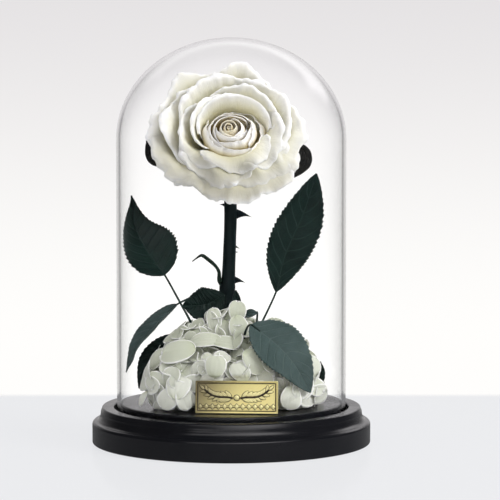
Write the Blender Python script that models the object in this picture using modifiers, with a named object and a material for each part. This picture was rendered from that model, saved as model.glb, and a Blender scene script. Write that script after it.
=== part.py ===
"""A preserved white rose standing in a glass dome on a turned black base.

The rose head faces forward and up on a thorny stem. Dark rose leaves and a mound of white
hydrangea surround the stem, and a small brass plate stands in front of the mound.

Metres, +Z up, the front towards -Y, the origin at the centre of the base's underside.
"""

import math
from dataclasses import dataclass
from typing import Callable, Sequence

import bmesh
import bpy
from mathutils import Matrix, Vector
from mathutils.noise import random_unit_vector, seed_set

MM = 0.001
OBJECT_NAME = "preserved_rose_in_glass_dome"
CUTTERS_NAME = "cutters"
FRONT = Vector((0.0, -1.0, 0.0))
GAP = 0.35 * MM
WELD_DISTANCE = 0.001 * MM
ROUND_STEPS = 32
SEED = 11

# Base: a turned disc with a cove, a groove for the glass and a raised platform
BASE_RADIUS = 73.0 * MM
BASE_SIDE_HEIGHT = 10.6 * MM
BASE_RIM_RADIUS = 67.9 * MM
BASE_RIM_HEIGHT = 19.0 * MM
BASE_EDGE_ROUNDING = 0.8 * MM
COVE_FOOT_RADIUS = 71.2 * MM
COVE_FOOT_HEIGHT = 11.6 * MM
COVE_TOP_HEIGHT = 16.6 * MM
COVE_HOLLOW = 0.6 * MM
SHOULDER_ROUNDING = 1.8 * MM
SHOULDER_DROP = 0.8 * MM
GROOVE_OUTER_RADIUS = 61.5 * MM
GROOVE_FLOOR_HEIGHT = 15.0 * MM
PLATFORM_RADIUS = 57.3 * MM
PLATFORM_HEIGHT = 21.0 * MM

# Glass dome: a straight wall under a flattened half-ellipse
DOME_RADIUS = 60.0 * MM
DOME_WALL = 2.0 * MM
DOME_SPRING_HEIGHT = 159.0 * MM
DOME_CAP_HEIGHT = 53.0 * MM
DOME_CAP_STEPS = 6

# Brass plate, leaning back a little on the platform
PLATE_SIZE = Vector((42.0, 1.5, 16.5)) * MM
PLATE_EDGE_ROUNDING = 0.3 * MM
PLATE_CENTRE_X = 3.0 * MM
PLATE_CENTRE_Y = -44.0 * MM
PLATE_LEAN = math.radians(6.0)
PLATE_TURN = math.radians(-4.0)

# Rose head: its axis points forward and up out of the receptacle
HEAD_ORIGIN = Vector((-1.0, 10.6, 150.2)) * MM
HEAD_ELEVATION = math.radians(33.0)
PETAL_COUNT = 24
PETAL_THICKNESS = 0.6 * MM
PETAL_COLUMNS = 4
INNER_PETAL_COLUMNS = 3
INNER_PETALS = 4
PETAL_ROWS = 5
GOLDEN_ANGLE = math.radians(137.508)
PETAL_START_ANGLE = math.radians(-8.0)
CLAW_HALF_ANGLE = math.radians(16.0)
CLAW_LENGTH_SHARE = 0.55
RIM_ROUNDING = 0.20
RIM_ROUNDING_POWER = 2.6
PETAL_STRETCH = {20: 1.03, 21: 1.04, 23: 0.99, 24: 0.96}
PROFILE_SAMPLES = 24
CURL_SAMPLES = 10

# Petal profiles, each value given for the innermost and the outermost petal
CLAW_RADIUS = (4.2, 10.0)
CLAW_HEIGHT = (2.5, -0.5)
CLAW_ANGLE = (30.0, 86.0)
RIM_RADIUS = (6.0, 39.0)
RIM_ANGLE = (-6.0, 66.0)
BLADE_HALF_ANGLE = (66.0, 60.0)
CURL_LENGTH = (1.0, 8.0)
CURL_TURN = (8.0, 92.0)
BELLY_PULL = 0.36
THROAT_PULL = 0.42

# Height of the rims: they rise from the sunken heart, then fall towards the outside
HEART_RIM_HEIGHT = 28.5
RIM_RISE = 4.5
RIM_RISE_END = 0.55
RIM_FALL = 11.0
RIM_FALL_START = 0.35
RIM_FALL_POWER = 1.45

# Turned profiles in the head's frame, as (radius, height)
HEAD_ROUND_STEPS = 12
HEART_PROFILE = ((0.0, 28.0), (3.2, 28.6), (4.8, 27.2), (6.2, 21.0), (6.2, 15.0), (4.6, 8.5),
                 (2.9, 3.2), (0.0, 2.6))
HIP_PROFILE = ((0.0, -0.4), (6.2, -0.6), (9.2, -2.0), (9.6, -4.4), (7.4, -8.0), (4.2, -10.6),
               (0.0, -10.8))

# Rose stem, as points up its centre line with the radius there
STEM_SIDES = 8
STEM_ROUTE = (
    ((-9.0, 3.0, 22.3), 3.5),
    ((-4.4, 8.0, 61.0), 3.5),
    ((-2.8, 10.4, 74.0), 3.6),
    ((-2.2, 11.2, 80.0), 4.1),
    ((-1.6, 12.2, 86.0), 3.6),
    ((-0.9, 14.6, 103.0), 3.3),
    ((-0.5, 16.6, 116.0), 3.4),
    ((-0.6, 18.8, 127.0), 3.3),
    ((-0.8, 20.4, 134.0), 3.4),
    ((-1.0, 20.4, 140.0), 3.6),
    ((-1.0, 17.4, 145.0), 3.8),
)


@dataclass(frozen=True)
class Finish:
    """The plain look of one kind of surface."""

    name: str
    colour: tuple[float, float, float]
    roughness: float
    metallic: float = 0.0
    transmission: float = 0.0


BLACK_WOOD = Finish("black_satin_wood", (0.018, 0.019, 0.022), 0.38)
GLASS = Finish("clear_glass", (0.95, 0.97, 0.97), 0.02, transmission=1.0)
BRASS = Finish("antique_brass", (0.56, 0.43, 0.20), 0.34, metallic=1.0)
STEM_GREEN = Finish("dried_stem", (0.010, 0.016, 0.020), 0.55)
LEAF_GREEN = Finish("preserved_leaf", (0.022, 0.045, 0.040), 0.50)
SEPAL_GREEN = Finish("preserved_sepal", (0.014, 0.016, 0.015), 0.50)
ROSE_WHITE = Finish("rose_petal", (0.80, 0.79, 0.72), 0.55)
HYDRANGEA_WHITE = Finish("hydrangea_petal", (0.68, 0.70, 0.62), 0.50)


@dataclass(frozen=True)
class Thorn:
    """A thorn on the stem: its foot, its tip and the size of its oval foot, in millimetres."""

    foot: tuple[float, float, float]
    tip: tuple[float, float, float]
    foot_height: float
    foot_width: float


THORN_SIDES = 8
THORN_TIP_RADIUS = 0.04
THORNS = (
    Thorn((0.6, 18.0, 118.0), (10.8, 16.5, 116.9), 7.6, 4.4),
    Thorn((0.4, 15.4, 101.6), (4.6, 14.4, 100.2), 2.6, 2.2),
    Thorn((0.2, 15.0, 97.8), (4.2, 13.8, 98.6), 2.2, 2.0),
    Thorn((-0.6, 12.4, 83.6), (7.6, 11.0, 82.6), 6.4, 4.2),
    Thorn((-2.4, 19.0, 122.6), (-6.6, 18.0, 123.4), 3.2, 2.6),
    Thorn((-1.6, 17.6, 112.0), (-1.8, 25.0, 110.6), 6.0, 4.0),
)

SIDE_SHOOT_ROUTE = (
    ((-3.6, 11.4, 80.0), 1.5),
    ((-6.2, 10.4, 84.0), 1.3),
    ((-6.6, 9.8, 88.6), 0.9),
    ((-8.6, 9.0, 92.0), 0.9),
    ((-12.6, 8.0, 95.6), 1.0),
    ((-15.2, 7.4, 97.4), 0.9),
    ((-17.0, 7.0, 97.0), 0.6),
    ((-20.6, 6.4, 94.4), 0.35),
)


@dataclass(frozen=True)
class Blade:
    """A leaf or sepal: a blade along a curved midrib, with or without a stalk.

    Points are in millimetres. The midrib runs from the blade's base to its tip, the stalk
    from the blade's base down to where it is stuck in. The blade's upper face looks along
    facing, and its halves fold up towards that side by fold.
    """

    name: str
    midrib: tuple[tuple[float, float, float], ...]
    facing: tuple[float, float, float]
    half_width: float
    widest: float = 0.42
    taper: float = 0.8
    fold: float = 12.0
    stalk: tuple[tuple[float, float, float], ...] = ()
    rows: int = 7
    columns: int = 4


LEAVES = (
    Blade("leaf_upper_left",
          ((-34.9, -4.0, 88.4), (-43.6, 0.0, 102.4), (-48.8, 2.4, 114.6), (-52.0, 3.0, 129.4)),
          (0.58, -0.81, 0.10), 16.2, widest=0.28, taper=1.1, fold=20.0,
          stalk=((-34.9, -4.0, 88.6), (-27.6, -7.4, 76.0), (-20.4, -10.4, 62.9), (-15.6, -11.6, 50.0))),
    Blade("leaf_upper_right",
          ((23.3, -16.0, 80.7), (28.2, -16.6, 100.0), (36.8, -16.4, 120.0), (44.1, -15.0, 142.0)),
          (0.22, -0.95, 0.08), 12.6, widest=0.50, fold=10.0,
          stalk=((23.3, -16.0, 80.7), (16.0, -16.0, 64.9), (8.2, -16.0, 50.3), (5.6, -15.6, 42.0))),
    Blade("leaf_front_right",
          ((10.2, -27.0, 64.8), (21.8, -32.6, 56.8), (31.8, -35.4, 46.4), (40.6, -35.4, 30.8)),
          (0.22, -0.84, 0.48), 13.4, widest=0.44, fold=6.0,
          stalk=((10.2, -27.0, 64.8), (7.6, -22.0, 61.0), (5.6, -19.0, 52.0))),
    Blade("leaf_lower_left",
          ((-28.4, -1.0, 72.5), (-39.6, -3.6, 62.2), (-49.0, -5.2, 51.0), (-55.0, -5.6, 37.4)),
          (-0.46, -0.38, 0.80), 7.6, widest=0.36, fold=18.0, rows=6,
          stalk=((-28.4, -1.0, 72.5), (-24.4, 1.4, 74.4), (-16.0, 5.6, 77.6), (-8.2, 9.4, 78.4))),
    Blade("leaf_inner_left",
          ((-7.8, 7.0, 73.8), (-15.0, 3.4, 70.2), (-24.6, 2.6, 70.4)),
          (-0.10, -0.99, 0.05), 7.8, widest=0.50, fold=8.0, rows=6),
    Blade("leaf_back_left",
          ((-26.0, 6.0, 55.0), (-38.0, 3.0, 43.0), (-47.0, -1.0, 28.0)),
          (-0.55, -0.80, 0.20), 7.6, widest=0.45, fold=14.0, rows=6),
    Blade("leaf_back_right",
          ((37.0, 0.0, 24.6), (44.4, -1.0, 33.6), (46.6, -2.4, 42.6)),
          (0.55, -0.80, 0.20), 4.4, widest=0.50, fold=26.0, rows=5, columns=2),
    Blade("leaf_small_curled",
          ((12.6, -11.2, 66.4), (9.8, -10.4, 68.6), (6.2, -10.0, 66.4)),
          (0.0, -0.55, 0.83), 3.0, widest=0.55, fold=30.0, rows=5, columns=2,
          stalk=((12.6, -11.2, 66.4), (12.9, -11.8, 62.6), (12.4, -12.0, 55.0))),
    Blade("leaf_pointed",
          ((2.6, 2.0, 64.0), (2.7, 2.0, 71.6), (2.4, 3.0, 79.6)),
          (0.10, -0.99, 0.05), 2.6, widest=0.55, fold=18.0, rows=5, columns=2),
)

SEPALS = (
    Blade("sepal_left",
          ((-10.8, 14.4, 147.4), (-26.0, 12.6, 147.6), (-39.6, 6.6, 147.6), (-44.2, 2.6, 158.0)),
          (-0.30, -0.80, 0.50), 3.3, widest=0.70, fold=10.0, rows=7, columns=2),
    Blade("sepal_right",
          ((8.8, 14.4, 147.4), (24.0, 13.4, 150.4), (36.2, 8.6, 153.4), (38.8, 5.0, 146.4),
           (30.6, 3.4, 137.8)),
          (0.30, -0.85, 0.42), 3.3, widest=0.66, fold=14.0, rows=9, columns=2),
    Blade("sepal_top",
          ((-1.0, 21.0, 155.4), (-1.0, 26.6, 161.0), (-1.0, 28.4, 170.0)),
          (0.0, -0.30, 0.95), 3.6, widest=0.35, fold=10.0, rows=5, columns=2),
    Blade("sepal_lower_left",
          ((-8.8, 10.6, 142.2), (-13.4, 11.6, 135.8), (-15.4, 17.6, 130.0)),
          (-0.5, -0.7, 0.3), 3.4, widest=0.35, fold=10.0, rows=5, columns=2),
    Blade("sepal_lower_right",
          ((6.8, 10.6, 142.2), (11.4, 11.6, 135.8), (13.4, 17.6, 130.0)),
          (0.5, -0.7, 0.3), 3.4, widest=0.35, fold=10.0, rows=5, columns=2),
)

# Blades and stalks: the stalk's radius is in millimetres, like the routes
BLADE_THICKNESS = 0.8 * MM
STALK_RADIUS = 0.55
STALK_SIDES = 6
STALK_END_SHARE = 0.12
BLADE_END_HALF_WIDTH = 0.5 * MM

# Hydrangea: rounded clusters that share the mound between them
CLUSTERS = {
    "front_left": ((-31.0, -24.0, 33.0), 18.0),
    "front_centre": ((-9.0, -25.0, 35.0), 17.0),
    "front_plate": ((12.0, -24.0, 36.0), 17.0),
    "front_right": ((31.0, -19.0, 33.0), 17.5),
    "side_left": ((-34.0, -5.0, 38.0), 15.5),
    "upper_left": ((-19.0, -9.0, 50.0), 14.5),
    "upper_centre": ((3.0, -9.0, 51.0), 15.5),
    "top": ((-3.0, -6.0, 64.0), 12.0),
    "upper_right": ((22.0, -4.0, 44.0), 16.0),
    "side_right": ((38.0, 3.0, 32.0), 13.0),
    "back_left": ((-23.0, 24.0, 34.0), 19.0),
    "back_centre": ((1.0, 32.0, 33.0), 18.5),
    "back_right": ((25.0, 23.0, 34.0), 19.0),
    "back_upper": ((1.0, 16.0, 50.0), 15.5),
}
CLUSTER_SEGMENTS = 12
CLUSTER_RINGS = 7
CLUSTER_LOBES = 11
CLUSTER_LOBE_DEPTH = 0.24
CLUSTER_LOBE_SHARPNESS = 12.0
MOUND_RADIUS = 56.0 * MM
MOUND_FRONT = -41.6 * MM
MOUND_CLEARANCE = 0.6 * MM


def clear_scene() -> None:
    """Remove every object that the file starts with."""
    for obj in list(bpy.data.objects):
        bpy.data.objects.remove(obj, do_unlink=True)


def collection(name: str) -> bpy.types.Collection:
    """Return the named collection, linked to the scene."""
    found = bpy.data.collections.get(name)
    if found is None:
        found = bpy.data.collections.new(name)
        bpy.context.scene.collection.children.link(found)
    return found


def material_for(node: str, finish: Finish) -> bpy.types.Material:
    """Make the material of one node from its finish."""
    material = bpy.data.materials.new(f"{node}_{finish.name}")
    material.use_nodes = True
    shader = material.node_tree.nodes["Principled BSDF"]
    shader.inputs["Base Color"].default_value = (*finish.colour, 1.0)
    shader.inputs["Roughness"].default_value = finish.roughness
    shader.inputs["Metallic"].default_value = finish.metallic
    shader.inputs["Transmission Weight"].default_value = finish.transmission
    material.diffuse_color = (*finish.colour, 1.0)
    return material


def object_from_bmesh(name: str, bm: bmesh.types.BMesh) -> bpy.types.Object:
    """Turn a bmesh into an object of the given name, in no collection yet."""
    mesh = bpy.data.meshes.new(name)
    bm.to_mesh(mesh)
    bm.free()
    return bpy.data.objects.new(name, mesh)


def add_part(obj: bpy.types.Object, finish: Finish, sharp_angle: float = 40.0) -> bpy.types.Object:
    """Put a finished piece in the object's collection, with its material and shading."""
    collection(OBJECT_NAME).objects.link(obj)
    obj.data.materials.clear()
    obj.data.materials.append(material_for(obj.name, finish))
    obj.data.shade_smooth()
    obj.data.set_sharp_from_angle(angle=math.radians(sharp_angle))
    return obj


def add_cutter(obj: bpy.types.Object) -> bpy.types.Object:
    """Put a shape that only cuts others in the cutters' collection."""
    collection(CUTTERS_NAME).objects.link(obj)
    obj.hide_render = True
    obj.display_type = "WIRE"
    return obj


def baked(obj: bpy.types.Object) -> bpy.types.Object:
    """Return a mesh object with the shape that the given curve or modified object shows."""
    holder = collection(CUTTERS_NAME)
    if obj.name not in holder.objects:
        holder.objects.link(obj)
    depsgraph = bpy.context.evaluated_depsgraph_get()
    mesh = bpy.data.meshes.new_from_object(obj.evaluated_get(depsgraph))
    bm = bmesh.new()
    bm.from_mesh(mesh)
    bmesh.ops.remove_doubles(bm, verts=bm.verts, dist=WELD_DISTANCE)
    bmesh.ops.dissolve_degenerate(bm, edges=bm.edges, dist=WELD_DISTANCE)
    bmesh.ops.recalc_face_normals(bm, faces=bm.faces)
    bm.to_mesh(mesh)
    bm.free()
    result = bpy.data.objects.new(obj.name, mesh)
    result.matrix_world = obj.matrix_world
    name = obj.name
    bpy.data.objects.remove(obj, do_unlink=True)
    result.name = name
    return result


def combine(target: bpy.types.Object, others: Sequence[bpy.types.Object], operation: str,
            keep: bool = False) -> bpy.types.Object:
    """Join other solids to a target, or cut them out of it, and return the new solid."""
    for other in others:
        if not keep:
            add_cutter(other)
        boolean = target.modifiers.new(other.name, "BOOLEAN")
        boolean.operation = operation
        boolean.object = other
        boolean.solver = "EXACT"
    result = baked(target)
    if not keep:
        for other in others:
            bpy.data.objects.remove(other, do_unlink=True)
    return result


def smoothstep(low: float, high: float, value: float) -> float:
    """Ease from 0 at low to 1 at high."""
    share = min(1.0, max(0.0, (value - low) / (high - low)))
    return share * share * (3.0 - 2.0 * share)


def mix(start: float, end: float, share: float) -> float:
    """Blend two values."""
    return start + (end - start) * share


def spline_point(points: Sequence[Vector], share: float) -> Vector:
    """Return the point at a share of the way along a smooth curve through the points."""
    spans = len(points) - 1
    place = min(max(share, 0.0), 1.0) * spans
    index = min(int(place), spans - 1)
    t = place - index
    p1 = points[index]
    p2 = points[index + 1]
    p0 = points[index - 1] if index > 0 else p1 * 2.0 - p2
    p3 = points[index + 2] if index + 2 < len(points) else p2 * 2.0 - p1
    return 0.5 * (2.0 * p1 + (p2 - p0) * t + (2.0 * p0 - 5.0 * p1 + 4.0 * p2 - p3) * t ** 2
                  + (3.0 * p1 - p0 - 3.0 * p2 + p3) * t ** 3)


def sheet(name: str, columns: int, rows: int, surface: Callable[[float, float], Vector],
          thickness: float) -> bpy.types.Object:
    """Bend a grid over a surface and thicken it to a closed shell.

    Args:
        name: The object's name.
        columns: Faces across.
        rows: Faces along.
        surface: Gives the point for a place across (-1 to 1) and a share along (0 to 1).
        thickness: The shell's thickness.
    """
    bm = bmesh.new()
    bmesh.ops.create_grid(bm, x_segments=columns, y_segments=rows, size=1.0)
    for vert in bm.verts:
        vert.co = surface(vert.co.x, 0.5 * (vert.co.y + 1.0))
    bmesh.ops.triangulate(bm, faces=bm.faces)
    obj = object_from_bmesh(name, bm)
    solidify = obj.modifiers.new("thickness", "SOLIDIFY")
    solidify.thickness = thickness
    solidify.offset = 0.0
    return baked(obj)


def tube(name: str, route: Sequence[tuple[Sequence[float], float]], sides: int,
         spare: float = 0.0) -> bpy.types.Object:
    """Make a round tube along points given in millimetres, each with its radius."""
    curve = bpy.data.curves.new(name, "CURVE")
    curve.dimensions = "3D"
    curve.bevel_depth = 1.0
    curve.bevel_resolution = sides // 2 - 2
    curve.use_fill_caps = True
    places = [Vector(place) * MM for place, _ in route]
    places[0] -= (places[1] - places[0]).normalized() * spare
    places[-1] += (places[-1] - places[-2]).normalized() * spare
    spline = curve.splines.new("POLY")
    spline.points.add(len(route) - 1)
    for point, place, (_, radius) in zip(spline.points, places, route):
        point.co = (*place, 1.0)
        point.radius = radius * MM + spare
    return baked(bpy.data.objects.new(name, curve))


def turned(name: str, profile: Sequence[tuple[float, float]], steps: int) -> bpy.types.Object:
    """Turn a profile of (radius, height) about the Z axis, down its outer side."""
    bm = bmesh.new()
    verts = [bm.verts.new((radius, 0.0, height)) for radius, height in profile]
    for start, end in zip(verts, verts[1:]):
        bm.edges.new((start, end))
    obj = object_from_bmesh(name, bm)
    screw = obj.modifiers.new("turn", "SCREW")
    screw.steps = steps
    screw.render_steps = steps
    screw.use_merge_vertices = True
    screw.merge_threshold = 0.01 * MM
    return baked(obj)


def arc(centre: tuple[float, float], size: tuple[float, float], start: float, end: float,
        steps: int) -> list[tuple[float, float]]:
    """Return points along an elliptical arc, with angles in degrees."""
    angles = [math.radians(mix(start, end, i / steps)) for i in range(steps + 1)]
    return [(centre[0] + size[0] * math.cos(a), centre[1] + size[1] * math.sin(a)) for a in angles]


def build_base() -> None:
    """Turn the black base with its cove, glass groove and platform."""
    cove_size = (COVE_FOOT_RADIUS - BASE_RIM_RADIUS - COVE_HOLLOW, COVE_TOP_HEIGHT - COVE_FOOT_HEIGHT)
    cove = arc((COVE_FOOT_RADIUS, COVE_TOP_HEIGHT), cove_size, 180.0, 270.0, 3)
    shoulder_centre = (BASE_RADIUS - SHOULDER_ROUNDING, BASE_SIDE_HEIGHT - SHOULDER_DROP)
    shoulder = arc(shoulder_centre, (SHOULDER_ROUNDING, SHOULDER_ROUNDING), 90.0, 0.0, 2)
    profile = [
        (0.0, PLATFORM_HEIGHT),
        (PLATFORM_RADIUS - BASE_EDGE_ROUNDING, PLATFORM_HEIGHT),
        (PLATFORM_RADIUS, PLATFORM_HEIGHT - BASE_EDGE_ROUNDING),
        (PLATFORM_RADIUS, GROOVE_FLOOR_HEIGHT),
        (GROOVE_OUTER_RADIUS, GROOVE_FLOOR_HEIGHT),
        (GROOVE_OUTER_RADIUS, BASE_RIM_HEIGHT - BASE_EDGE_ROUNDING),
        (GROOVE_OUTER_RADIUS + BASE_EDGE_ROUNDING, BASE_RIM_HEIGHT),
        (BASE_RIM_RADIUS - BASE_EDGE_ROUNDING, BASE_RIM_HEIGHT),
        (BASE_RIM_RADIUS, BASE_RIM_HEIGHT - BASE_EDGE_ROUNDING),
        *cove,
        *shoulder,
        (BASE_RADIUS, BASE_EDGE_ROUNDING),
        (BASE_RADIUS - BASE_EDGE_ROUNDING, 0.0),
        (0.0, 0.0),
    ]
    add_part(turned("base", profile, ROUND_STEPS), BLACK_WOOD)


def build_dome() -> None:
    """Turn the glass dome, open at its foot, which stands in the base's groove."""
    foot = GROOVE_FLOOR_HEIGHT + GAP
    inner_radius = DOME_RADIUS - DOME_WALL
    outer = arc((0.0, DOME_SPRING_HEIGHT), (DOME_RADIUS, DOME_CAP_HEIGHT), 90.0, 0.0, DOME_CAP_STEPS)
    inner = arc((0.0, DOME_SPRING_HEIGHT), (inner_radius, DOME_CAP_HEIGHT - DOME_WALL), 0.0, 90.0,
                DOME_CAP_STEPS)
    outer[0] = (0.0, DOME_SPRING_HEIGHT + DOME_CAP_HEIGHT)
    inner[-1] = (0.0, DOME_SPRING_HEIGHT + DOME_CAP_HEIGHT - DOME_WALL)
    profile = [*outer, (DOME_RADIUS, foot), (inner_radius, foot), *inner]
    add_part(turned("glass_dome", profile, ROUND_STEPS), GLASS)


def build_plate() -> None:
    """Stand the brass plate on the platform, in front of the flowers."""
    bm = bmesh.new()
    bmesh.ops.create_cube(bm, size=1.0, matrix=Matrix.Diagonal((*PLATE_SIZE, 1.0)))
    plate = object_from_bmesh("name_plate", bm)
    half_height = 0.5 * (PLATE_SIZE.z * math.cos(PLATE_LEAN) + PLATE_SIZE.y * math.sin(PLATE_LEAN))
    plate.location = (PLATE_CENTRE_X, PLATE_CENTRE_Y, PLATFORM_HEIGHT + GAP + half_height)
    plate.rotation_euler = (-PLATE_LEAN, 0.0, PLATE_TURN)
    bevel = plate.modifiers.new("edges", "BEVEL")
    bevel.width = PLATE_EDGE_ROUNDING
    bevel.segments = 1
    add_part(plate, BRASS, 20.0)


def thorn_solid(index: int, thorn: Thorn) -> bpy.types.Object:
    """Make one thorn as a cone with an oval foot, its foot's long side up the stem."""
    foot = Vector(thorn.foot) * MM
    tip = Vector(thorn.tip) * MM
    length = (tip - foot).length
    bm = bmesh.new()
    bmesh.ops.create_cone(bm, cap_ends=True, segments=THORN_SIDES, radius1=0.5,
                          radius2=THORN_TIP_RADIUS, depth=1.0,
                          matrix=Matrix.Translation((0.0, 0.0, 0.5)))
    obj = object_from_bmesh(f"thorn_{index}", bm)
    forward = (tip - foot).normalized()
    upward = (Vector((0.0, 0.0, 1.0)) - forward * forward.z).normalized()
    across = upward.cross(forward)
    frame = Matrix((across, upward, forward)).transposed().to_4x4()
    size = Matrix.Diagonal((thorn.foot_width * MM, thorn.foot_height * MM, length, 1.0))
    obj.data.transform(Matrix.Translation(foot) @ frame @ size)
    return obj


def build_stem() -> None:
    """Make the rose's stem, with its thorns, its side shoot and the hip grown on."""
    stem = tube("rose_stem", STEM_ROUTE, STEM_SIDES)
    grown = [thorn_solid(index, thorn) for index, thorn in enumerate(THORNS, 1)]
    grown.append(tube("side_shoot", SIDE_SHOOT_ROUTE, STALK_SIDES))
    hip = turned("hip", [(radius * MM, height * MM) for radius, height in HIP_PROFILE],
                 HEAD_ROUND_STEPS)
    hip.data.transform(head_frame())
    grown.append(hip)
    add_part(combine(stem, grown, "UNION"), STEM_GREEN)


def head_frame() -> Matrix:
    """Return the rose head's frame: X right, Y up the face, Z along its axis."""
    axis = Vector((0.0, -math.cos(HEAD_ELEVATION), math.sin(HEAD_ELEVATION)))
    right = Vector((1.0, 0.0, 0.0))
    turn = Matrix((right, axis.cross(right), axis)).transposed().to_4x4()
    return Matrix.Translation(HEAD_ORIGIN) @ turn


def petal_profile(rank: float) -> list[tuple[float, float]]:
    """Return the (radius, height) points of a petal from its claw to its rolled rim.

    The profiles of all ranks nest without crossing, from 0 at the heart to 1 outside.
    """
    claw = Vector((mix(*CLAW_RADIUS, rank), mix(*CLAW_HEIGHT, rank))) * MM
    rise = RIM_RISE * math.sin(0.5 * math.pi * min(1.0, rank / RIM_RISE_END))
    outward = max(0.0, (rank - RIM_FALL_START) / (1.0 - RIM_FALL_START))
    rim_height = HEART_RIM_HEIGHT + rise - RIM_FALL * outward ** RIM_FALL_POWER
    rim = Vector((mix(*RIM_RADIUS, rank), rim_height)) * MM
    claw_angle = math.radians(mix(*CLAW_ANGLE, rank))
    rim_angle = math.radians(mix(*RIM_ANGLE, rank))
    chord = (rim - claw).length
    belly = claw + BELLY_PULL * chord * Vector((math.sin(claw_angle), math.cos(claw_angle)))
    throat = rim - THROAT_PULL * chord * Vector((math.sin(rim_angle), math.cos(rim_angle)))
    points = []
    for step in range(PROFILE_SAMPLES + 1):
        u = step / PROFILE_SAMPLES
        points.append(claw * (1.0 - u) ** 3 + belly * (3.0 * u * (1.0 - u) ** 2)
                      + throat * (3.0 * u * u * (1.0 - u)) + rim * u ** 3)
    curl_length = mix(*CURL_LENGTH, rank) * MM
    curl_turn = math.radians(mix(*CURL_TURN, rank))
    place = rim
    for step in range(CURL_SAMPLES):
        angle = rim_angle + curl_turn * (step + 0.5) / CURL_SAMPLES
        place = place + curl_length / CURL_SAMPLES * Vector((math.sin(angle), math.cos(angle)))
        points.append(place)
    return [(point.x, point.y) for point in points]


def along(profile: Sequence[tuple[float, float]], share: float) -> tuple[float, float]:
    """Return the point at a share of a profile's length."""
    lengths = [math.dist(a, b) for a, b in zip(profile, profile[1:])]
    rest = share * sum(lengths)
    for (start, end), length in zip(zip(profile, profile[1:]), lengths):
        if rest <= length:
            return (mix(start[0], end[0], rest / length), mix(start[1], end[1], rest / length))
        rest -= length
    return profile[-1]


def petal_surface(number: int) -> Callable[[float, float], Vector]:
    """Return the surface of one petal in the head's frame, numbered from the heart out."""
    rank = (number - 0.5) / PETAL_COUNT
    azimuth = PETAL_START_ANGLE + (number - 1) * GOLDEN_ANGLE
    stretch = PETAL_STRETCH.get(number, 1.0)
    profile = petal_profile(rank)
    blade_half_angle = math.radians(mix(*BLADE_HALF_ANGLE, rank))

    def surface(across: float, share: float) -> Vector:
        reach = share * (1.0 - RIM_ROUNDING * abs(across) ** RIM_ROUNDING_POWER)
        radius, height = along(profile, reach)
        radius *= mix(1.0, stretch, reach * reach)
        spread = smoothstep(0.0, CLAW_LENGTH_SHARE, share)
        angle = azimuth + across * mix(CLAW_HALF_ANGLE, blade_half_angle, spread)
        return Vector((radius * math.cos(angle), radius * math.sin(angle), height))

    return surface


def build_head() -> None:
    """Make the rose's heart and the spiral of petals round it."""
    frame = head_frame()
    for number in range(1, PETAL_COUNT + 1):
        columns = INNER_PETAL_COLUMNS if number <= INNER_PETALS else PETAL_COLUMNS
        petal = sheet(f"rose_petal_{number:02d}", columns, PETAL_ROWS, petal_surface(number),
                      PETAL_THICKNESS)
        petal.data.transform(frame)
        add_part(petal, ROSE_WHITE, 60.0)
    heart = turned("rose_heart", [(radius * MM, height * MM) for radius, height in HEART_PROFILE],
                   HEAD_ROUND_STEPS)
    heart.data.transform(frame)
    add_part(heart, ROSE_WHITE, 60.0)


def blade_surface(blade: Blade, spare: float = 0.0) -> Callable[[float, float], Vector]:
    """Return the surface of a leaf's blade, its outline widened by spare."""
    points = [Vector(point) * MM for point in blade.midrib]
    facing = Vector(blade.facing).normalized()
    power = math.log(0.5) / math.log(blade.widest)
    fold = math.radians(blade.fold)

    def surface(across: float, share: float) -> Vector:
        tangent = (spline_point(points, share + 0.02) - spline_point(points, share - 0.02)).normalized()
        side = tangent.cross(facing).normalized()
        upper = side.cross(tangent)
        shape = math.sin(math.pi * min(share, 1.0) ** power)
        half = max(blade.half_width * MM * max(shape, 0.0) ** blade.taper, BLADE_END_HALF_WIDTH) + spare
        drawn = spline_point(points, share) + tangent * spare * (2.0 * share - 1.0)
        return drawn + across * half * math.cos(fold) * side + abs(across) * half * math.sin(fold) * upper

    return surface


def blade_solid(blade: Blade, spare: float = 0.0) -> bpy.types.Object:
    """Make a blade with its stalk grown on, or with spare around it to cut clearance."""
    body = sheet(blade.name, blade.columns, blade.rows, blade_surface(blade, spare),
                 BLADE_THICKNESS + 2.0 * spare)
    if not blade.stalk:
        return body
    inner = spline_point([Vector(point) for point in blade.midrib], STALK_END_SHARE)
    route = [(point, STALK_RADIUS) for point in (inner, *blade.stalk)]
    stalk = tube(f"{blade.name}_stalk", route, STALK_SIDES, spare)
    return combine(body, [stalk], "UNION")


def build_leaves() -> None:
    """Make the leaves round the stem and the sepals behind the rose head."""
    for blade in LEAVES:
        add_part(blade_solid(blade), LEAF_GREEN)
    for blade in SEPALS:
        add_part(blade_solid(blade), SEPAL_GREEN)


def lobe_directions(count: int) -> list[Vector]:
    """Return directions spread evenly over a sphere."""
    directions = []
    for index in range(count):
        height = 1.0 - 2.0 * (index + 0.5) / count
        ring = math.sqrt(1.0 - height * height)
        angle = index * GOLDEN_ANGLE
        directions.append(Vector((ring * math.cos(angle), ring * math.sin(angle), height)))
    return directions


def cut_flat(bm: bmesh.types.BMesh, point: Vector, normal: Vector) -> None:
    """Cut a solid off flat beyond a plane, on the side that the normal points to."""
    geometry = [*bm.verts, *bm.edges, *bm.faces]
    bmesh.ops.bisect_plane(bm, geom=geometry, plane_co=point, plane_no=normal, clear_outer=True,
                           dist=WELD_DISTANCE)
    open_edges = [edge for edge in bm.edges if edge.is_boundary]
    if open_edges:
        bmesh.ops.holes_fill(bm, edges=open_edges, sides=0)


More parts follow.
